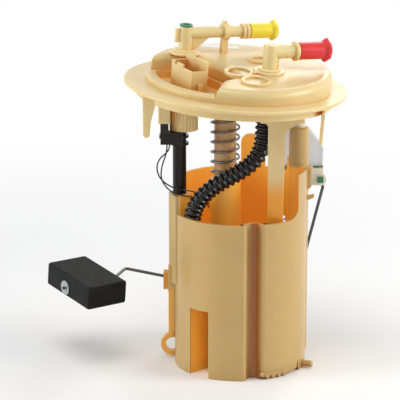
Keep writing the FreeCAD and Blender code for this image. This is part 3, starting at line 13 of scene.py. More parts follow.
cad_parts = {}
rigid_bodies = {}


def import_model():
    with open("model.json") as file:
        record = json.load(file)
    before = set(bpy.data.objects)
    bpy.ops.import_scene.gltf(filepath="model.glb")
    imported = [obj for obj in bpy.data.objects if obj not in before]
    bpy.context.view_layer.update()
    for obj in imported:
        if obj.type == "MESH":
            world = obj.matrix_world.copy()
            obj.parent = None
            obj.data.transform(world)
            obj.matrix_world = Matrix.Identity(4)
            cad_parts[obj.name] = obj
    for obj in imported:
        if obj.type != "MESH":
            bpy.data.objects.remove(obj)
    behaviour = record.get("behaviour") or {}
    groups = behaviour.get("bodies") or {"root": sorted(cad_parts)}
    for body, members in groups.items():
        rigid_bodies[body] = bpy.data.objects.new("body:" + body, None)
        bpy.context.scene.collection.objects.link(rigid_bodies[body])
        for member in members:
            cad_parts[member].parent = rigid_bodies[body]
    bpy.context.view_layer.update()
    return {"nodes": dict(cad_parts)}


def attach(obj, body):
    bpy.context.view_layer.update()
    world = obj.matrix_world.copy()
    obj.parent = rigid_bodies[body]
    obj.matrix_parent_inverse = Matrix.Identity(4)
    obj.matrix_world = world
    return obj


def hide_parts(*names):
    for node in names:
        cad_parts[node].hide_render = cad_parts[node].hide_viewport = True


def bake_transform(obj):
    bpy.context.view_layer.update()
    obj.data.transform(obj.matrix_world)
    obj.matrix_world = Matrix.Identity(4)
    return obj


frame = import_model()
nodes = frame["nodes"]
MM = 0.001


# %% [markdown]
# An operator works on everything that is selected, and the loader leaves the CAD nodes selected. So a small
# helper clears the selection, and another makes one object the active one before we work on it. A finished
# piece has its place in its mesh and sits at the origin itself, as the CAD nodes do.

# %% Selection helpers
def deselect_all():
    for thing in bpy.context.view_layer.objects:
        thing.select_set(False)


def work_on(thing):
    deselect_all()
    thing.select_set(True)
    bpy.context.view_layer.objects.active = thing


def named(name):
    """Names the object that an operator has just made, and its mesh."""
    thing = bpy.context.active_object
    thing.name = name
    thing.data.name = name
    return thing


def settle(thing):
    """Puts an object's place into its mesh, so that the object itself sits at the origin."""
    work_on(thing)
    bpy.ops.object.transform_apply(location=True, rotation=True, scale=True)
    return thing


def apply_all(thing):
    work_on(thing)
    for modifier in list(thing.modifiers):
        bpy.ops.object.modifier_apply(modifier=modifier.name)
    return thing


def mm(*values):
    return Vector(values) * MM


deselect_all()
print("selected:", len(bpy.context.selected_objects))


# %% [markdown]
# The photograph was taken from a little above the pot's top, from far away. A long lens keeps the uprights
# nearly parallel, so the camera stands about 1.3 m off with a 180 mm lens on a 36 mm sensor. A wide lens
# close up would show the same pieces, but the cover would look too big for the pot.

# %% Camera
camera_place = mm(-27.6458, -1318.6718, 455.7453)
camera_pitch_down = 14.5
camera_data = bpy.data.cameras.new("photo_camera")
camera_data.sensor_width = 36.0
camera_data.lens = 180.0
camera_data.clip_start = 0.05
camera_data.clip_end = 20.0
camera = bpy.data.objects.new("photo_camera", camera_data)
camera.location = camera_place
camera.rotation_euler = Euler((math.radians(90 - camera_pitch_down), 0, 0))
bpy.context.scene.collection.objects.link(camera)
bpy.context.scene.camera = camera
print("camera at", [round(v, 3) for v in camera.location])


# %% [markdown]
# A material is a small net of nodes. These functions make the parts of that net that this object needs
# again and again: a noise, a colour ramp, a mix of two colours, a bump, and shares that go from 0 to 1
# along an axis or away from the pot's axis. Those that need a place read Object coordinates, so a pattern
# sits still on its piece from whatever side we look.

# %% Shader node helpers
# The Mix node has sockets for every type of data, and these are the ones of its colour form
MIX_FACTOR, MIX_FIRST, MIX_SECOND, MIX_RESULT = 0, 6, 7, 2


def start_material(name):
    material = bpy.data.materials.new(name)
    material.use_nodes = True
    tree = material.node_tree
    return material, tree, tree.nodes["Principled BSDF"]


def object_place(tree):
    return tree.nodes.new("ShaderNodeTexCoord").outputs["Object"]


def object_noise(tree, scale, detail=2.0, roughness=0.5):
    """Noise that sits still on the object, with scale in features per metre."""
    noise = tree.nodes.new("ShaderNodeTexNoise")
    noise.inputs["Scale"].default_value = scale
    noise.inputs["Detail"].default_value = detail
    noise.inputs["Roughness"].default_value = roughness
    tree.links.new(object_place(tree), noise.inputs["Vector"])
    return noise.outputs["Fac"]


def ramp(tree, source, stops):
    """A colour ramp from (position, colour) pairs."""
    node = tree.nodes.new("ShaderNodeValToRGB")
    for element, (position, colour) in zip(node.color_ramp.elements, stops):
        element.position = position
        element.color = (*colour, 1)
    tree.links.new(source, node.inputs["Fac"])
    return node.outputs["Color"]


def mix_colour(tree, factor, first, second, blend="MIX"):
    """Mixes two colours, where each value is a number, a colour or another node's output."""
    node = tree.nodes.new("ShaderNodeMix")
    node.data_type = "RGBA"
    node.blend_type = blend
    for value, index in ((factor, MIX_FACTOR), (first, MIX_FIRST), (second, MIX_SECOND)):
        if isinstance(value, float):
            node.inputs[index].default_value = value
        elif isinstance(value, tuple):
            node.inputs[index].default_value = (*value, 1)
        else:
            tree.links.new(value, node.inputs[index])
    return node.outputs[MIX_RESULT]


def mix_shaders(tree, share, first, second):
    node = tree.nodes.new("ShaderNodeMixShader")
    tree.links.new(share, node.inputs["Fac"])
    tree.links.new(first.outputs[0], node.inputs[1])
    tree.links.new(second.outputs[0], node.inputs[2])
    return node.outputs[0]


def combined(tree, operation, first, second):
    node = tree.nodes.new("ShaderNodeMath")
    node.operation = operation
    tree.links.new(first, node.inputs[0])
    tree.links.new(second, node.inputs[1])
    return node.outputs[0]


def larger(tree, first, second):
    return combined(tree, "MAXIMUM", first, second)


def range_share(tree, source, low, high):
    """0 up to the low value of source and 1 from the high one."""
    share = tree.nodes.new("ShaderNodeMapRange")
    share.interpolation_type = "SMOOTHSTEP"
    share.inputs["From Min"].default_value = low
    share.inputs["From Max"].default_value = high
    tree.links.new(source, share.inputs["Value"])
    return share.outputs[0]


def radius_share(tree, low, high):
    """0 within the low radius about the pot's axis, and 1 outside the high one, both in millimetres."""
    flat = tree.nodes.new("ShaderNodeVectorMath")
    flat.operation = "MULTIPLY"
    flat.inputs[1].default_value = (1, 1, 0)
    tree.links.new(object_place(tree), flat.inputs[0])
    length = tree.nodes.new("ShaderNodeVectorMath")
    length.operation = "LENGTH"
    tree.links.new(flat.outputs[0], length.inputs[0])
    return range_share(tree, length.outputs["Value"], low * MM, high * MM)


def axis_share(tree, axis, none, full):
    """0 at the first place along an axis and 1 at the second, in millimetres and in either direction."""
    split = tree.nodes.new("ShaderNodeSeparateXYZ")
    tree.links.new(object_place(tree), split.inputs[0])
    rising = range_share(tree, split.outputs[axis], min(none, full) * MM, max(none, full) * MM)
    if none < full:
        return rising
    falling = tree.nodes.new("ShaderNodeMath")
    falling.operation = "SUBTRACT"
    falling.inputs[0].default_value = 1.0
    tree.links.new(rising, falling.inputs[1])
    return falling.outputs[0]


def uneven_gloss(tree, shader, noise, low, high):
    """Lets the roughness drift between two values, because no real skin is evenly glossy."""
    rough = tree.nodes.new("ShaderNodeMapRange")
    rough.inputs["To Min"].default_value = low
    rough.inputs["To Max"].default_value = high
    tree.links.new(noise, rough.inputs["Value"])
    tree.links.new(rough.outputs[0], shader.inputs["Roughness"])


def add_bump(tree, shader, height, strength, distance):
    """A skin that bends the light, with the bump's depth in millimetres."""
    bump = tree.nodes.new("ShaderNodeBump")
    bump.inputs["Strength"].default_value = strength
    bump.inputs["Distance"].default_value = distance * MM
    tree.links.new(height, bump.inputs["Height"])
    tree.links.new(bump.outputs["Normal"], shader.inputs["Normal"])


def seen_rays(tree):
    """1 for rays from the camera, from gloss and through clear plastic, and 0 for those that give light."""
    path = tree.nodes.new("ShaderNodeLightPath")
    by_gloss_or_glass = larger(tree, path.outputs["Is Transmission Ray"], path.outputs["Is Glossy Ray"])
    return larger(tree, path.outputs["Is Camera Ray"], by_gloss_or_glass)


print("node helpers are ready")


# %% [markdown]
# Soft studio light: one broad lamp above and in front, one low at each side, a weak one behind and a dim
# even sky. The background is white only for rays that come from the camera, from gloss and from clear
# plastic, so it adds no light of its own to the object. The lamps reach only the near floor, so further out
# the floor fades into the same white, which leaves the shadow under the object and hides the horizon.

# %% World, lamps and floor
pure_white = (1, 1, 1, 1)
background_strength = 1.0
sky_colour = (0.93, 0.95, 1.0, 1)
sky_strength = 0.36
floor_grey = (0.9, 0.9, 0.9, 1)
floor_roughness = 0.9
floor_size = 6.0
floor_fade = (220, 750)
lamp_target = Vector((0, 0, 0.11))
lamps = [
    # name, place, size, power, colour
    ("key_lamp", (-0.2, -0.45, 1.4), 0.8, 6.5, (1.0, 0.99, 0.96)),
    ("fill_lamp", (-1.15, -0.25, 0.35), 0.6, 6.5, (0.96, 0.98, 1.0)),
    ("side_lamp", (1.1, -0.22, 0.5), 0.6, 8.5, (1.0, 0.99, 0.97)),
    ("back_lamp", (0.35, 0.95, 0.75), 0.6, 3.5, (1.0, 0.99, 0.97)),
]


def make_world():
    world = bpy.data.worlds.new("studio_sky")
    bpy.context.scene.world = world
    world.use_nodes = True
    tree = world.node_tree
    tree.nodes.clear()
    sky = tree.nodes.new("ShaderNodeBackground")
    sky.inputs["Color"].default_value = sky_colour
    sky.inputs["Strength"].default_value = sky_strength
    backdrop = tree.nodes.new("ShaderNodeBackground")
    backdrop.inputs["Color"].default_value = pure_white
    backdrop.inputs["Strength"].default_value = background_strength
    output = tree.nodes.new("ShaderNodeOutputWorld")
    tree.links.new(mix_shaders(tree, seen_rays(tree), sky, backdrop), output.inputs["Surface"])


def add_lamp(name, place, size, power, colour):
    lamp_data = bpy.data.lights.new(name, "AREA")
    lamp_data.shape = "DISK"
    lamp_data.size = size
    lamp_data.energy = power
    lamp_data.color = colour
    lamp = bpy.data.objects.new(name, lamp_data)
    lamp.location = place
    lamp.rotation_euler = (lamp_target - Vector(place)).to_track_quat("-Z", "Y").to_euler()
    bpy.context.scene.collection.objects.link(lamp)


def make_floor():
    deselect_all()
    bpy.ops.mesh.primitive_plane_add(size=floor_size, location=(0, 0, 0))
    floor = named("studio_floor")
    material, tree, paper = start_material("floor_paper")
    paper.inputs["Base Color"].default_value = floor_grey
    paper.inputs["Roughness"].default_value = floor_roughness
    far_white = tree.nodes.new("ShaderNodeEmission")
    far_white.inputs["Color"].default_value = pure_white
    far_white.inputs["Strength"].default_value = background_strength
    share = combined(tree, "MULTIPLY", radius_share(tree, *floor_fade), seen_rays(tree))
    surface = mix_shaders(tree, share, paper, far_white)
    tree.links.new(surface, tree.nodes["Material Output"].inputs["Surface"])
    floor.data.materials.append(material)


make_world()
for lamp_settings in lamps:
    add_lamp(*lamp_settings)
make_floor()
print("world,", len(lamps), "lamps and a floor")


# %% [markdown]
# Moulded plastic is never one flat colour. The natural resin of this unit lets light soak in: faces in the
# open look creamy, and light that has bounced about in a corner or a hollow comes out orange. That orange is
# painted: ambient occlusion tells a material how enclosed a point is, so it can blend from the cream to a
# painted orange shade and bounce light in hollows. A slow noise adds the uneven tint of the resin and a fine
# one the satin skin that the mould leaves. Some places are tinted one by one with painted light: painted
# shade in the brown front groove and on the orange small hook and eye, a painted orange glow on the inside
# of the pot, and painted orange shade on the low end of the cover's strap.

# %% Resin
resin_tone_scale = 55.0
resin_gloss_scale = 160.0
resin_skin_scale = 900.0
resin_tone_drop = 0.05
# Openness at which a hollow gets the full painted orange shade and bounce light
hollow_painted_shade_at = 0.12
resin_open_at = 0.62
resin_soak = 0.35
resin_soak_colour = (1.0, 0.55, 0.2)
resin_soak_depth = 6.0 * MM
resin_ior = 1.48
occlusion_samples = 8

# Where the painted shade and glow begin and end, in millimetres: no share at the first place and a full one
# at the second
left_of_groove = (7.8, 4.0)
right_of_groove = (9.2, 14.2)
behind_front_wall = (-36.6, -36.0)
before_front_wall = (-36.0, -36.6)
outside_wall = (43.4, 43.8)
column_top = (136.5, 140.0)
column_side = (27.0, 29.0)
beside_hook = (-46.2, -45.0)
above_hook = (50.0, 56.0)
above_strap_foot = (122.0, 142.0)


def openness(tree, reach):
    """1 where a point is in the open, 0 where it is closed in within that reach, in metres."""
    node = tree.nodes.new("ShaderNodeAmbientOcclusion")
    node.inputs["Distance"].default_value = reach
    node.samples = occlusion_samples
    return node.outputs["AO"]


def out_of_groove(tree):
    """0 in the middle of the pot's front groove, and 1 at its edges and everywhere else."""
    left = axis_share(tree, "X", *left_of_groove)
    right = axis_share(tree, "X", *right_of_groove)
    behind = axis_share(tree, "Y", *behind_front_wall)
    return larger(tree, larger(tree, left, right), behind)


def out_of_pot(tree):
    """1 on the pot's outside and on the top of its right column, and 0 on everything within the wall."""
    outside = larger(tree, radius_share(tree, *outside_wall), axis_share(tree, "Y", *before_front_wall))
    high = axis_share(tree, "Z", *column_top)
    on_column = combined(tree, "MINIMUM", high, axis_share(tree, "X", *column_side))
    return larger(tree, outside, on_column)


def pot_painted_light(tree, colour, inside, groove, hook):
    """Painted light on the pot: brown shade in the groove, orange glow inside the walls, orange shade on the
    small hook and eye.
    """
    colour = mix_colour(tree, out_of_groove(tree), groove, colour)
    colour = mix_colour(tree, out_of_pot(tree), inside, colour)
    away = larger(tree, axis_share(tree, "X", *beside_hook), axis_share(tree, "Z", *above_hook))
    return mix_colour(tree, away, hook, colour)


def strap_painted_shade(tree, colour, inside):
    """The part of the cover's strap that hangs low gets painted orange shade, like the painted glow inside
    the pot.
    """
    return mix_colour(tree, axis_share(tree, "Z", *above_strap_foot), inside, colour)


def resin(name, open_colour, hollow_painted_shade, roughness, reach=0.03, tints=None):
    """Natural moulded resin: creamy in the open, with painted orange shade and bounce light where it is
    closed in.
    """
    material, tree, shader = start_material(name)
    stops = [(hollow_painted_shade_at, hollow_painted_shade), (resin_open_at, open_colour)]
    # The ramp paints orange shade and bounce light into hollows, from how closed in each point is
    warm = ramp(tree, openness(tree, reach), stops)
    if tints is not None:
        function, colours = tints
        warm = function(tree, warm, *colours)
    duller = (1 - resin_tone_drop,) * 3
    drift = ramp(tree, object_noise(tree, resin_tone_scale), [(0.3, duller), (0.7, (1.0, 1.0, 1.0))])
    tree.links.new(mix_colour(tree, 1.0, warm, drift, "MULTIPLY"), shader.inputs["Base Color"])
    uneven_gloss(tree, shader, object_noise(tree, resin_gloss_scale), roughness - 0.05, roughness + 0.07)
    shader.inputs["IOR"].default_value = resin_ior
    shader.inputs["Subsurface Weight"].default_value = resin_soak
    shader.inputs["Subsurface Radius"].default_value = resin_soak_colour
    shader.inputs["Subsurface Scale"].default_value = resin_soak_depth
    add_bump(tree, shader, object_noise(tree, resin_skin_scale, 3.0), 0.10, 0.4)
    return material


# The cover's tint paints orange shade on the low end of the strap
cover_resin = resin("cover_resin", (0.77, 0.60, 0.29), (0.80, 0.36, 0.04), 0.30,
                    tints=(strap_painted_shade, [(0.86, 0.36, 0.03)]))
# The pot's tints paint brown shade in the groove, an orange glow inside the walls and orange shade on the
# hook and eye
shaded_pot_resin = resin("shaded_pot_resin", (0.56, 0.385, 0.145), (0.45, 0.17, 0.03), 0.30,
                  tints=(pot_painted_light, [(0.95, 0.50, 0.08), (0.40, 0.14, 0.03), (0.84, 0.44, 0.07)]))
nozzle_resin = resin("nozzle_resin", (0.84, 0.67, 0.34), (0.84, 0.42, 0.08), 0.28, reach=0.02)
rod_resin = resin("rod_resin", (0.62, 0.36, 0.15), (0.46, 0.19, 0.05), 0.34, reach=0.02)
white_rod_resin = resin("white_rod_resin", (0.80, 0.72, 0.56), (0.78, 0.44, 0.16), 0.3, reach=0.02)
sensor_resin = resin("sensor_resin", (0.80, 0.80, 0.74), (0.62, 0.60, 0.50), 0.36, reach=0.01)
screen_resin = resin("screen_resin", (0.70, 0.66, 0.54), (0.60, 0.42, 0.18), 0.5, reach=0.01)
print("resins:", len([m for m in bpy.data.materials if "resin" in m.name]))


# %% [markdown]
# The pot's wall is thin, and the studio light shines through it, so its inside glows orange. A wall that
# really lets light through takes long to render without noise. A very weak orange emission within the wall
# gives the same warm look and costs nothing. It leaves out the front of the pot, which we see from outside.

# %% Glow inside the pot
glow_strength = 0.16
glow_colour = (0.95, 0.40, 0.04, 1)
unlit_front = (-14.0, -16.0)


def light_inside(material):
    tree = material.node_tree
    shader = tree.nodes["Principled BSDF"]
    unlit = larger(tree, out_of_pot(tree), axis_share(tree, "Y", *unlit_front))
    glow = tree.nodes.new("ShaderNodeMapRange")
    glow.inputs["To Min"].default_value = glow_strength
    glow.inputs["To Max"].default_value = 0.0
    tree.links.new(unlit, glow.inputs["Value"])
    tree.links.new(glow.outputs[0], shader.inputs["Emission Strength"])
    shader.inputs["Emission Color"].default_value = glow_colour


light_inside(shaded_pot_resin)
print("glow inside the pot:", glow_strength)


# %% [markdown]
# The other pieces are coloured plastic, rubber and metal. The hose, plug and float are black but not alike:
# the hose shines a little, the float is a matt foamed rubber, and the pipe and plug are a very dark brown.
# Drawn wire has streaks, a little uneven in gloss. The sensor's cover is thin milky plastic that some light
# comes through.

# %% Plastic, rubber and metal
moulded_tone_scale = 90.0
moulded_gloss_scale = 220.0
least_roughness = 0.05
metal_streaks = 600.0
metal_tone_drop = 0.28
milky_tone_scale = 70.0
milky_skin_scale = 800.0


def scaled(colour, share):
    return tuple(c * share for c in colour)


def moulded(name, colour, roughness, tint=0.12, bump=0.12, grain=700.0, shine=0.5):
    """Coloured moulded plastic, with a slow change of tone and a fine skin."""
    material, tree, shader = start_material(name)
    stops = [(0.35, scaled(colour, 1 - tint)), (0.65, colour)]
    base = ramp(tree, object_noise(tree, moulded_tone_scale, 3.0), stops)
    tree.links.new(base, shader.inputs["Base Color"])
    glossiest = max(least_roughness, roughness - 0.06)
    uneven_gloss(tree, shader, object_noise(tree, moulded_gloss_scale), glossiest, roughness + 0.08)
    shader.inputs["Specular IOR Level"].default_value = shine
    add_bump(tree, shader, object_noise(tree, grain, 4.0, 0.6), bump, 0.4)
    return material


def drawn_metal(name, colour, roughness):
    """Drawn wire or pressed sheet: fine streaks, a little uneven in gloss."""
    material, tree, shader = start_material(name)
    stops = [(0.3, scaled(colour, 1 - metal_tone_drop)), (0.7, colour)]
    base = ramp(tree, object_noise(tree, metal_streaks, 4.0), stops)
    tree.links.new(base, shader.inputs["Base Color"])
    shader.inputs["Metallic"].default_value = 1.0
    gloss = object_noise(tree, metal_streaks * 1.7, 3.0)
    uneven_gloss(tree, shader, gloss, roughness - 0.08, roughness + 0.12)
    add_bump(tree, shader, object_noise(tree, metal_streaks * 2.0), 0.15, 0.2)
    return material


def milky(name, colour):
    """Thin milky plastic that some light comes through."""
    material, tree, shader = start_material(name)
    stops = [(0.3, scaled(colour, 0.93)), (0.7, colour)]
    base = ramp(tree, object_noise(tree, milky_tone_scale), stops)
    tree.links.new(base, shader.inputs["Base Color"])
    shader.inputs["Roughness"].default_value = 0.38
    shader.inputs["Transmission Weight"].default_value = 0.45
    shader.inputs["IOR"].default_value = 1.45
    shader.inputs["Subsurface Weight"].default_value = 0.25
    shader.inputs["Subsurface Scale"].default_value = 3.0 * MM
    add_bump(tree, shader, object_noise(tree, milky_skin_scale), 0.06, 0.3)
    return material


pipe_plastic = moulded("pipe_plastic", (0.009, 0.006, 0.005), 0.25, shine=0.25)
plug_plastic = moulded("plug_plastic", (0.016, 0.009, 0.008), 0.4, shine=0.3)
hose_plastic = moulded("hose_plastic", (0.005, 0.005, 0.006), 0.16, bump=0.05, shine=0.4)
wire_insulation = moulded("wire_insulation", (0.018, 0.015, 0.014), 0.35, bump=0.05)
float_rubber = moulded("float_rubber", (0.010, 0.010, 0.010), 0.7,
                       tint=0.3, bump=0.5, grain=1600.0, shine=0.2)
green_plastic = moulded("green_plastic", (0.035, 0.22, 0.09), 0.4)
yellow_plastic = moulded("yellow_plastic", (0.90, 0.74, 0.05), 0.3, tint=0.08)
red_plastic = moulded("red_plastic", (0.76, 0.028, 0.03), 0.3, tint=0.1)
label_paper = moulded("label_paper", (0.86, 0.87, 0.90), 0.45, tint=0.03, bump=0.05)
valve_rubber = moulded("valve_rubber", (0.28, 0.045, 0.015), 0.6)
card_ceramic = moulded("card_ceramic", (0.55, 0.50, 0.38), 0.5)
spring_steel = drawn_metal("spring_steel", (0.20, 0.21, 0.23), 0.34)
arm_steel = drawn_metal("arm_steel", (0.13, 0.13, 0.13), 0.38)
retainer_steel = drawn_metal("retainer_steel", (0.55, 0.56, 0.58), 0.3)
contact_brass = drawn_metal("contact_brass", (0.72, 0.50, 0.20), 0.3)
milky_cover = milky("milky_cover", (0.86, 0.89, 0.93))
print("materials:", len(bpy.data.materials))


# %% [markdown]
# Each CAD node gets the finish of the real piece. Only its material is changed: its place and its mesh stay
# as they were packed. The cover and the pot are moulded in the same resin; the pot's darker copy is painted
# shade.

# %% Finishes on the CAD nodes
node_finish = {
    # The pot's copy of the cover's resin is darker: a painted shade
    "reservoir_pot": shaded_pot_resin,
    "bottom_cover": shaded_pot_resin,
    "inlet_screen": screen_resin,
    "inlet_valve": valve_rubber,
    "pickup_body": nozzle_resin,
    "pickup_screen": screen_resin,
    "corrugated_hose": hose_plastic,
    "coil_spring": spring_steel,
    "spring_guide_rod": rod_resin,
    "side_guide_rod": white_rod_resin,
    "return_pipe": pipe_plastic,
    "flange_cover": cover_resin,
    "connector_blades": contact_brass,
    "feed_nozzle": nozzle_resin,
    "return_nozzle": nozzle_resin,
    "feed_marker_ring": green_plastic,
    "feed_cap": yellow_plastic,
    "return_cap": red_plastic,
    "harness_plug": plug_plastic,
    "sensor_wire_a": wire_insulation,
    "sensor_wire_b": wire_insulation,
    "sensor_bracket": sensor_resin,
    "sensor_seal": green_plastic,
    "sensor_cover": milky_cover,
    "resistor_card": card_ceramic,
    "wire_holder": green_plastic,
    "wiper": contact_brass,
    "float_arm": arm_steel,
    "float": float_rubber,
    "float_retainer": retainer_steel,
}
for node_name, finish in node_finish.items():
    node = nodes[node_name]
    node.data.materials.clear()
    node.data.materials.append(finish)
print("dressed nodes:", len(node_finish), "of", len(nodes))


# %% [markdown]
# The hose, the spring and the two sensor wires join the pot to the cover, and the cover slides. A cord is
# drawn as one smooth NURBS line through the open air, and a solid piece is then made to follow it. Order 3
# makes a soft line, and the end point option makes it start and stop at its first and last points. The
# points are those of the CAD model's routes, in millimetres, from the cover down into the pot.

# %% Routes of the cords
hose_points = [
    (15.0, -22.4, 187.3), (15.0, -22.4, 176.2), (14.8, -22.4, 165.2), (13.3, -22.2, 155.6),
    (8.8, -21.9, 147.4), (1.2, -21.5, 141.0), (-7.8, -20.8, 135.6), (-17.2, -19.8, 130.0),
    (-25.6, -18.2, 122.6), (-31.2, -15.8, 113.8), (-33.4, -14.4, 103.6), (-32.6, -14.2, 91.4),
    (-30.8, -12.6, 79.4), (-29.2, -8.4, 69.0), (-28.2, -1.4, 60.0), (-28.0, 6.4, 52.2),
    (-28.0, 12.0, 43.0), (-28.0, 12.0, 32.2),
]
wire_a_points = [
    (-47.9, -14.6, 157.3), (-48.2, -14.6, 153.5), (-50.6, -14.2, 150.6), (-54.4, -13.4, 147.2),
    (-56.4, -12.8, 143.0), (-56.6, -12.0, 138.6), (-55.4, -11.2, 134.4), (-52.9, -10.8, 130.8),
    (-49.5, -10.4, 128.0), (-45.7, -10.0, 125.9), (-41.4, -9.2, 124.4), (-37.0, -7.4, 123.4),
    (-33.0, -4.4, 122.0), (-28.4, 0.2, 119.6), (-25.4, 5.0, 115.8), (-22.6, 10.2, 111.0),
    (-19.2, 14.6, 105.6), (-15.0, 18.2, 100.0), (-9.6, 21.2, 94.8), (-3.4, 23.8, 91.0),
    (3.6, 25.8, 89.6), (11.0, 27.2, 89.4), (18.2, 28.6, 90.0), (24.8, 30.6, 90.4),
    (29.6, 34.6, 90.6), (32.6, 38.8, 91.4), (32.9, 40.4, 93.6),
]
wire_b_points = [
    (-49.7, -12.6, 157.3), (-49.8, -12.6, 153.4), (-50.6, -12.4, 149.0), (-52.4, -12.9, 144.2),
    (-53.6, -13.6, 139.4), (-53.9, -13.6, 135.0), (-52.9, -13.2, 130.9), (-50.6, -12.8, 127.2),
    (-47.5, -12.4, 124.0), (-43.8, -12.0, 121.9), (-39.6, -11.4, 120.8), (-35.6, -9.6, 119.8),
    (-31.6, -6.4, 118.8), (-27.0, -2.4, 116.6), (-24.2, 2.6, 112.8), (-21.6, 7.6, 108.0),
    (-18.8, 12.2, 102.6), (-14.6, 16.0, 97.2), (-9.0, 19.0, 92.0), (-2.4, 21.4, 88.4),
    (4.8, 23.2, 86.6), (12.2, 24.8, 86.4), (19.4, 26.6, 87.2), (25.4, 29.0, 88.4),
    (30.2, 32.8, 88.8), (34.2, 37.0, 89.6), (36.2, 39.6, 91.6), (36.4, 40.4, 93.7),
]
cover_body = "flange"


def route_curve(name, points):
    curve = bpy.data.curves.new(name, "CURVE")
    curve.dimensions = "3D"
    curve.resolution_u = 12
    spline = curve.splines.new("NURBS")
    spline.points.add(len(points) - 1)
    for control, place in zip(spline.points, points):
        control.co = (*mm(*place), 1)
    spline.order_u = 3
    spline.use_endpoint_u = True
    route = bpy.data.objects.new(name, curve)
    bpy.context.scene.collection.objects.link(route)
    return route


def centreline(route):
    """The points of the route's smooth line, read from the curve."""
    mesh = bpy.data.meshes.new_from_object(route)
    line = [vertex.co.copy() for vertex in mesh.vertices]
    bpy.data.meshes.remove(mesh)
    return line


def line_length(line):
    return sum((b - a).length for a, b in zip(line, line[1:]))


hose_route = route_curve("hose_route", hose_points)
hose_line = centreline(hose_route)
hose_length = line_length(hose_line)
print("hose length:", round(hose_length, 4), "m in", len(hose_line), "points")


# %% [markdown]
# The hose is blow-moulded with a rib every few millimetres, so that it can fold up when the cover goes
# down. Modelled by hand, one rib is a short ring that is extruded and scaled in steps. An Array modifier
# repeats it into a straight hose, with a plain cuff at each end, and a Curve modifier bends that along the
# route. A bump on a plain tube would be quicker, but the ribs show against the light, so they have to be
# real.

# %% Corrugated hose
hose_sides = 32
rib_pitch = 4.0 * MM
cuff_length = 7.0 * MM
rib_root = 4.75
rib_crest = 6.1
hose_crease = 50
merge_reach = 0.02 * MM
# Half a rib, from root to crest: each step is a share of the pitch and the radius there in millimetres
half_rib = [(0.0, rib_root), (0.10, 4.8), (0.24, 5.3), (0.34, 5.9), (0.42, 6.08)]
rib_profile = half_rib + [(0.5, rib_crest)] + [(1 - share, radius) for share, radius in reversed(half_rib)]


def ring_tube(name, steps):
    """A tube along X, made from one ring that is extruded and scaled: steps are (x, radius) in metres."""
    deselect_all()
    first_x, first_radius = steps[0]
    bpy.ops.mesh.primitive_circle_add(vertices=hose_sides, radius=first_radius, location=(first_x, 0, 0),
                                      rotation=(0, math.pi / 2, 0))
    made = settle(named(name))
    bpy.ops.object.mode_set(mode="EDIT")
    bpy.ops.mesh.select_all(action="SELECT")
    for (x_before, radius_before), (x, radius) in zip(steps, steps[1:]):
        bpy.ops.mesh.extrude_edges_move(TRANSFORM_OT_translate={"value": (x - x_before, 0, 0)})
        share = radius / radius_before
        bpy.ops.transform.resize(value=(1, share, share))
    bpy.ops.mesh.select_all(action="SELECT")
    bpy.ops.mesh.normals_make_consistent(inside=False)
    bpy.ops.object.mode_set(mode="OBJECT")
    return made


def make_ribs(rib_count, pitch):
    steps = [(share * pitch + cuff_length, radius * MM) for share, radius in rib_profile]
    ribs = ring_tube("corrugated_hose_skin", steps)
    array = ribs.modifiers.new("ribs", "ARRAY")
    array.count = rib_count
    array.use_relative_offset = False
    array.use_constant_offset = True
    array.constant_offset_displace = (pitch, 0, 0)
    array.use_merge_vertices = True
    array.merge_threshold = merge_reach
    return apply_all(ribs)


def make_hose():
    ribbed_length = hose_length - 2 * cuff_length
    rib_count = round(ribbed_length / rib_pitch)
    hose = make_ribs(rib_count, ribbed_length / rib_count)
    cuff_starts = {"cuff_top": 0, "cuff_foot": cuff_length + ribbed_length}
    cuffs = []
    for name, start in cuff_starts.items():
        cuffs.append(ring_tube(name, [(start, rib_root * MM), (start + cuff_length, rib_root * MM)]))
    work_on(hose)
    for cuff in cuffs:
        cuff.select_set(True)
    bpy.ops.object.join()
    bend = hose.modifiers.new("bend", "CURVE")
    bend.object = hose_route
    bend.deform_axis = "POS_X"
    apply_all(hose)
    hose.data.materials.append(hose_plastic)
    bpy.ops.object.shade_smooth_by_angle(angle=math.radians(hose_crease))
    print("ribs:", rib_count, "faces:", len(hose.data.polygons))
    return hose


hose = make_hose()
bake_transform(hose)
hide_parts("corrugated_hose")
bpy.data.objects.remove(hose_route)


# %% [markdown]
# The two wires of the level sensor are thin and limp. A round bevel on the route's own line is enough for a
# plain insulated wire. It is turned into a mesh.

# %% Sensor wires
wire_radius = 0.5 * MM


def make_wire(name, points, node_name):
    route = route_curve(name, points)
    line = centreline(route)
    route.data.bevel_depth = wire_radius
    route.data.bevel_resolution = 3
    route.data.use_fill_caps = True
    work_on(route)
    bpy.ops.object.convert(target="MESH")
    wire = bpy.context.active_object
    wire.data.materials.append(wire_insulation)
    bpy.ops.object.shade_smooth()
    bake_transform(wire)
    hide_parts(node_name)


make_wire("sensor_lead_a", wire_a_points, "sensor_wire_a")
make_wire("sensor_lead_b", wire_b_points, "sensor_wire_b")


# %% [markdown]
# A spring is one wire wound round a cylinder. The Screw modifier does just that: it turns a small ring
# about the upright axis and lifts it at the same time. The ends are filled afterwards. A wire bent along a
# helix of points would do as well, but the screw needs only a pitch and a height.

# %% Coil spring
spring_axis = (-10.6, 0.0)
spring_mean_radius = 9.5
spring_wire_radius = 0.7
spring_wire_sides = 14
spring_steps_per_turn = 40
spring_foot = 130.7
spring_head = 188.98
spring_pitch = 6.8
spring_crease = 60
# A height at which a turn passes the left side of the spring
left_pass_height = 135.0


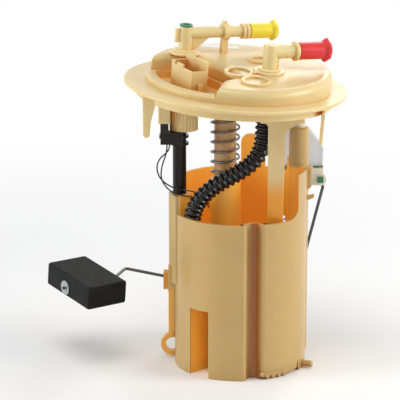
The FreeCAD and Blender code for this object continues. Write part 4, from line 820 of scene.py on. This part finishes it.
def make_spring():
    rise = spring_head - spring_foot
    turns = rise / spring_pitch
    start_angle = math.radians(180.0 - 360.0 * (left_pass_height - spring_foot) / spring_pitch)
    deselect_all()
    bpy.ops.mesh.primitive_circle_add(vertices=spring_wire_sides, radius=spring_wire_radius * MM,
                                      location=(spring_mean_radius * MM, 0, 0), rotation=(math.pi / 2, 0, 0))
    spring = settle(named("coil_spring_wire"))
    screw = spring.modifiers.new("winding", "SCREW")
    screw.axis = "Z"
    screw.angle = 2 * math.pi * turns
    screw.screw_offset = rise * MM
    screw.steps = round(turns * spring_steps_per_turn)
    screw.render_steps = screw.steps
    screw.iterations = 1
    apply_all(spring)
    bpy.ops.object.mode_set(mode="EDIT")
    bpy.ops.mesh.select_all(action="SELECT")
    bpy.ops.mesh.fill_holes(sides=0)
    bpy.ops.mesh.normals_make_consistent(inside=False)
    bpy.ops.object.mode_set(mode="OBJECT")
    spring.rotation_euler = (0, 0, start_angle)
    spring.location = mm(*spring_axis, spring_foot)
    settle(spring)
    bpy.ops.object.shade_smooth_by_angle(angle=math.radians(spring_crease))
    spring.data.materials.append(spring_steel)
    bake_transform(spring)
    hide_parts("coil_spring")
    print("spring turns:", round(turns, 2), "faces:", len(spring.data.polygons))


make_spring()


# %% [markdown]
# A blank white paper label is stuck on the dome, near its back edge. The cover leans, so the label is made
# flat first, at its place on a level cover, and is then turned and moved with the cover's lean. The lean is
# one small turn, about 2.7 degrees about X together with 4.0 degrees about Y.

# %% Blank label
cover_centre = mm(-3.8, 0, 195.8)
cover_lean = Vector((2.7, 4.0, 0))
label_size = (27.0, 9.0, 0.2)
label_place = (-11.5, 45.0, 14.1)


def make_label():
    deselect_all()
    bpy.ops.mesh.primitive_cube_add(size=1.0, location=mm(*label_place), scale=mm(*label_size))
    label = settle(named("blank_label"))
    lean = Quaternion(cover_lean.normalized(), math.radians(cover_lean.length))
    label.rotation_euler = lean.to_euler()
    label.location = cover_centre
    settle(label)
    label.data.materials.append(label_paper)
    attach(label, cover_body)
    print("label:", label_size, "mm")


make_label()


# %% [markdown]
# The Standard view shows each colour about as it is written.

# %% Finish
bpy.context.scene.view_settings.view_transform = "Standard"
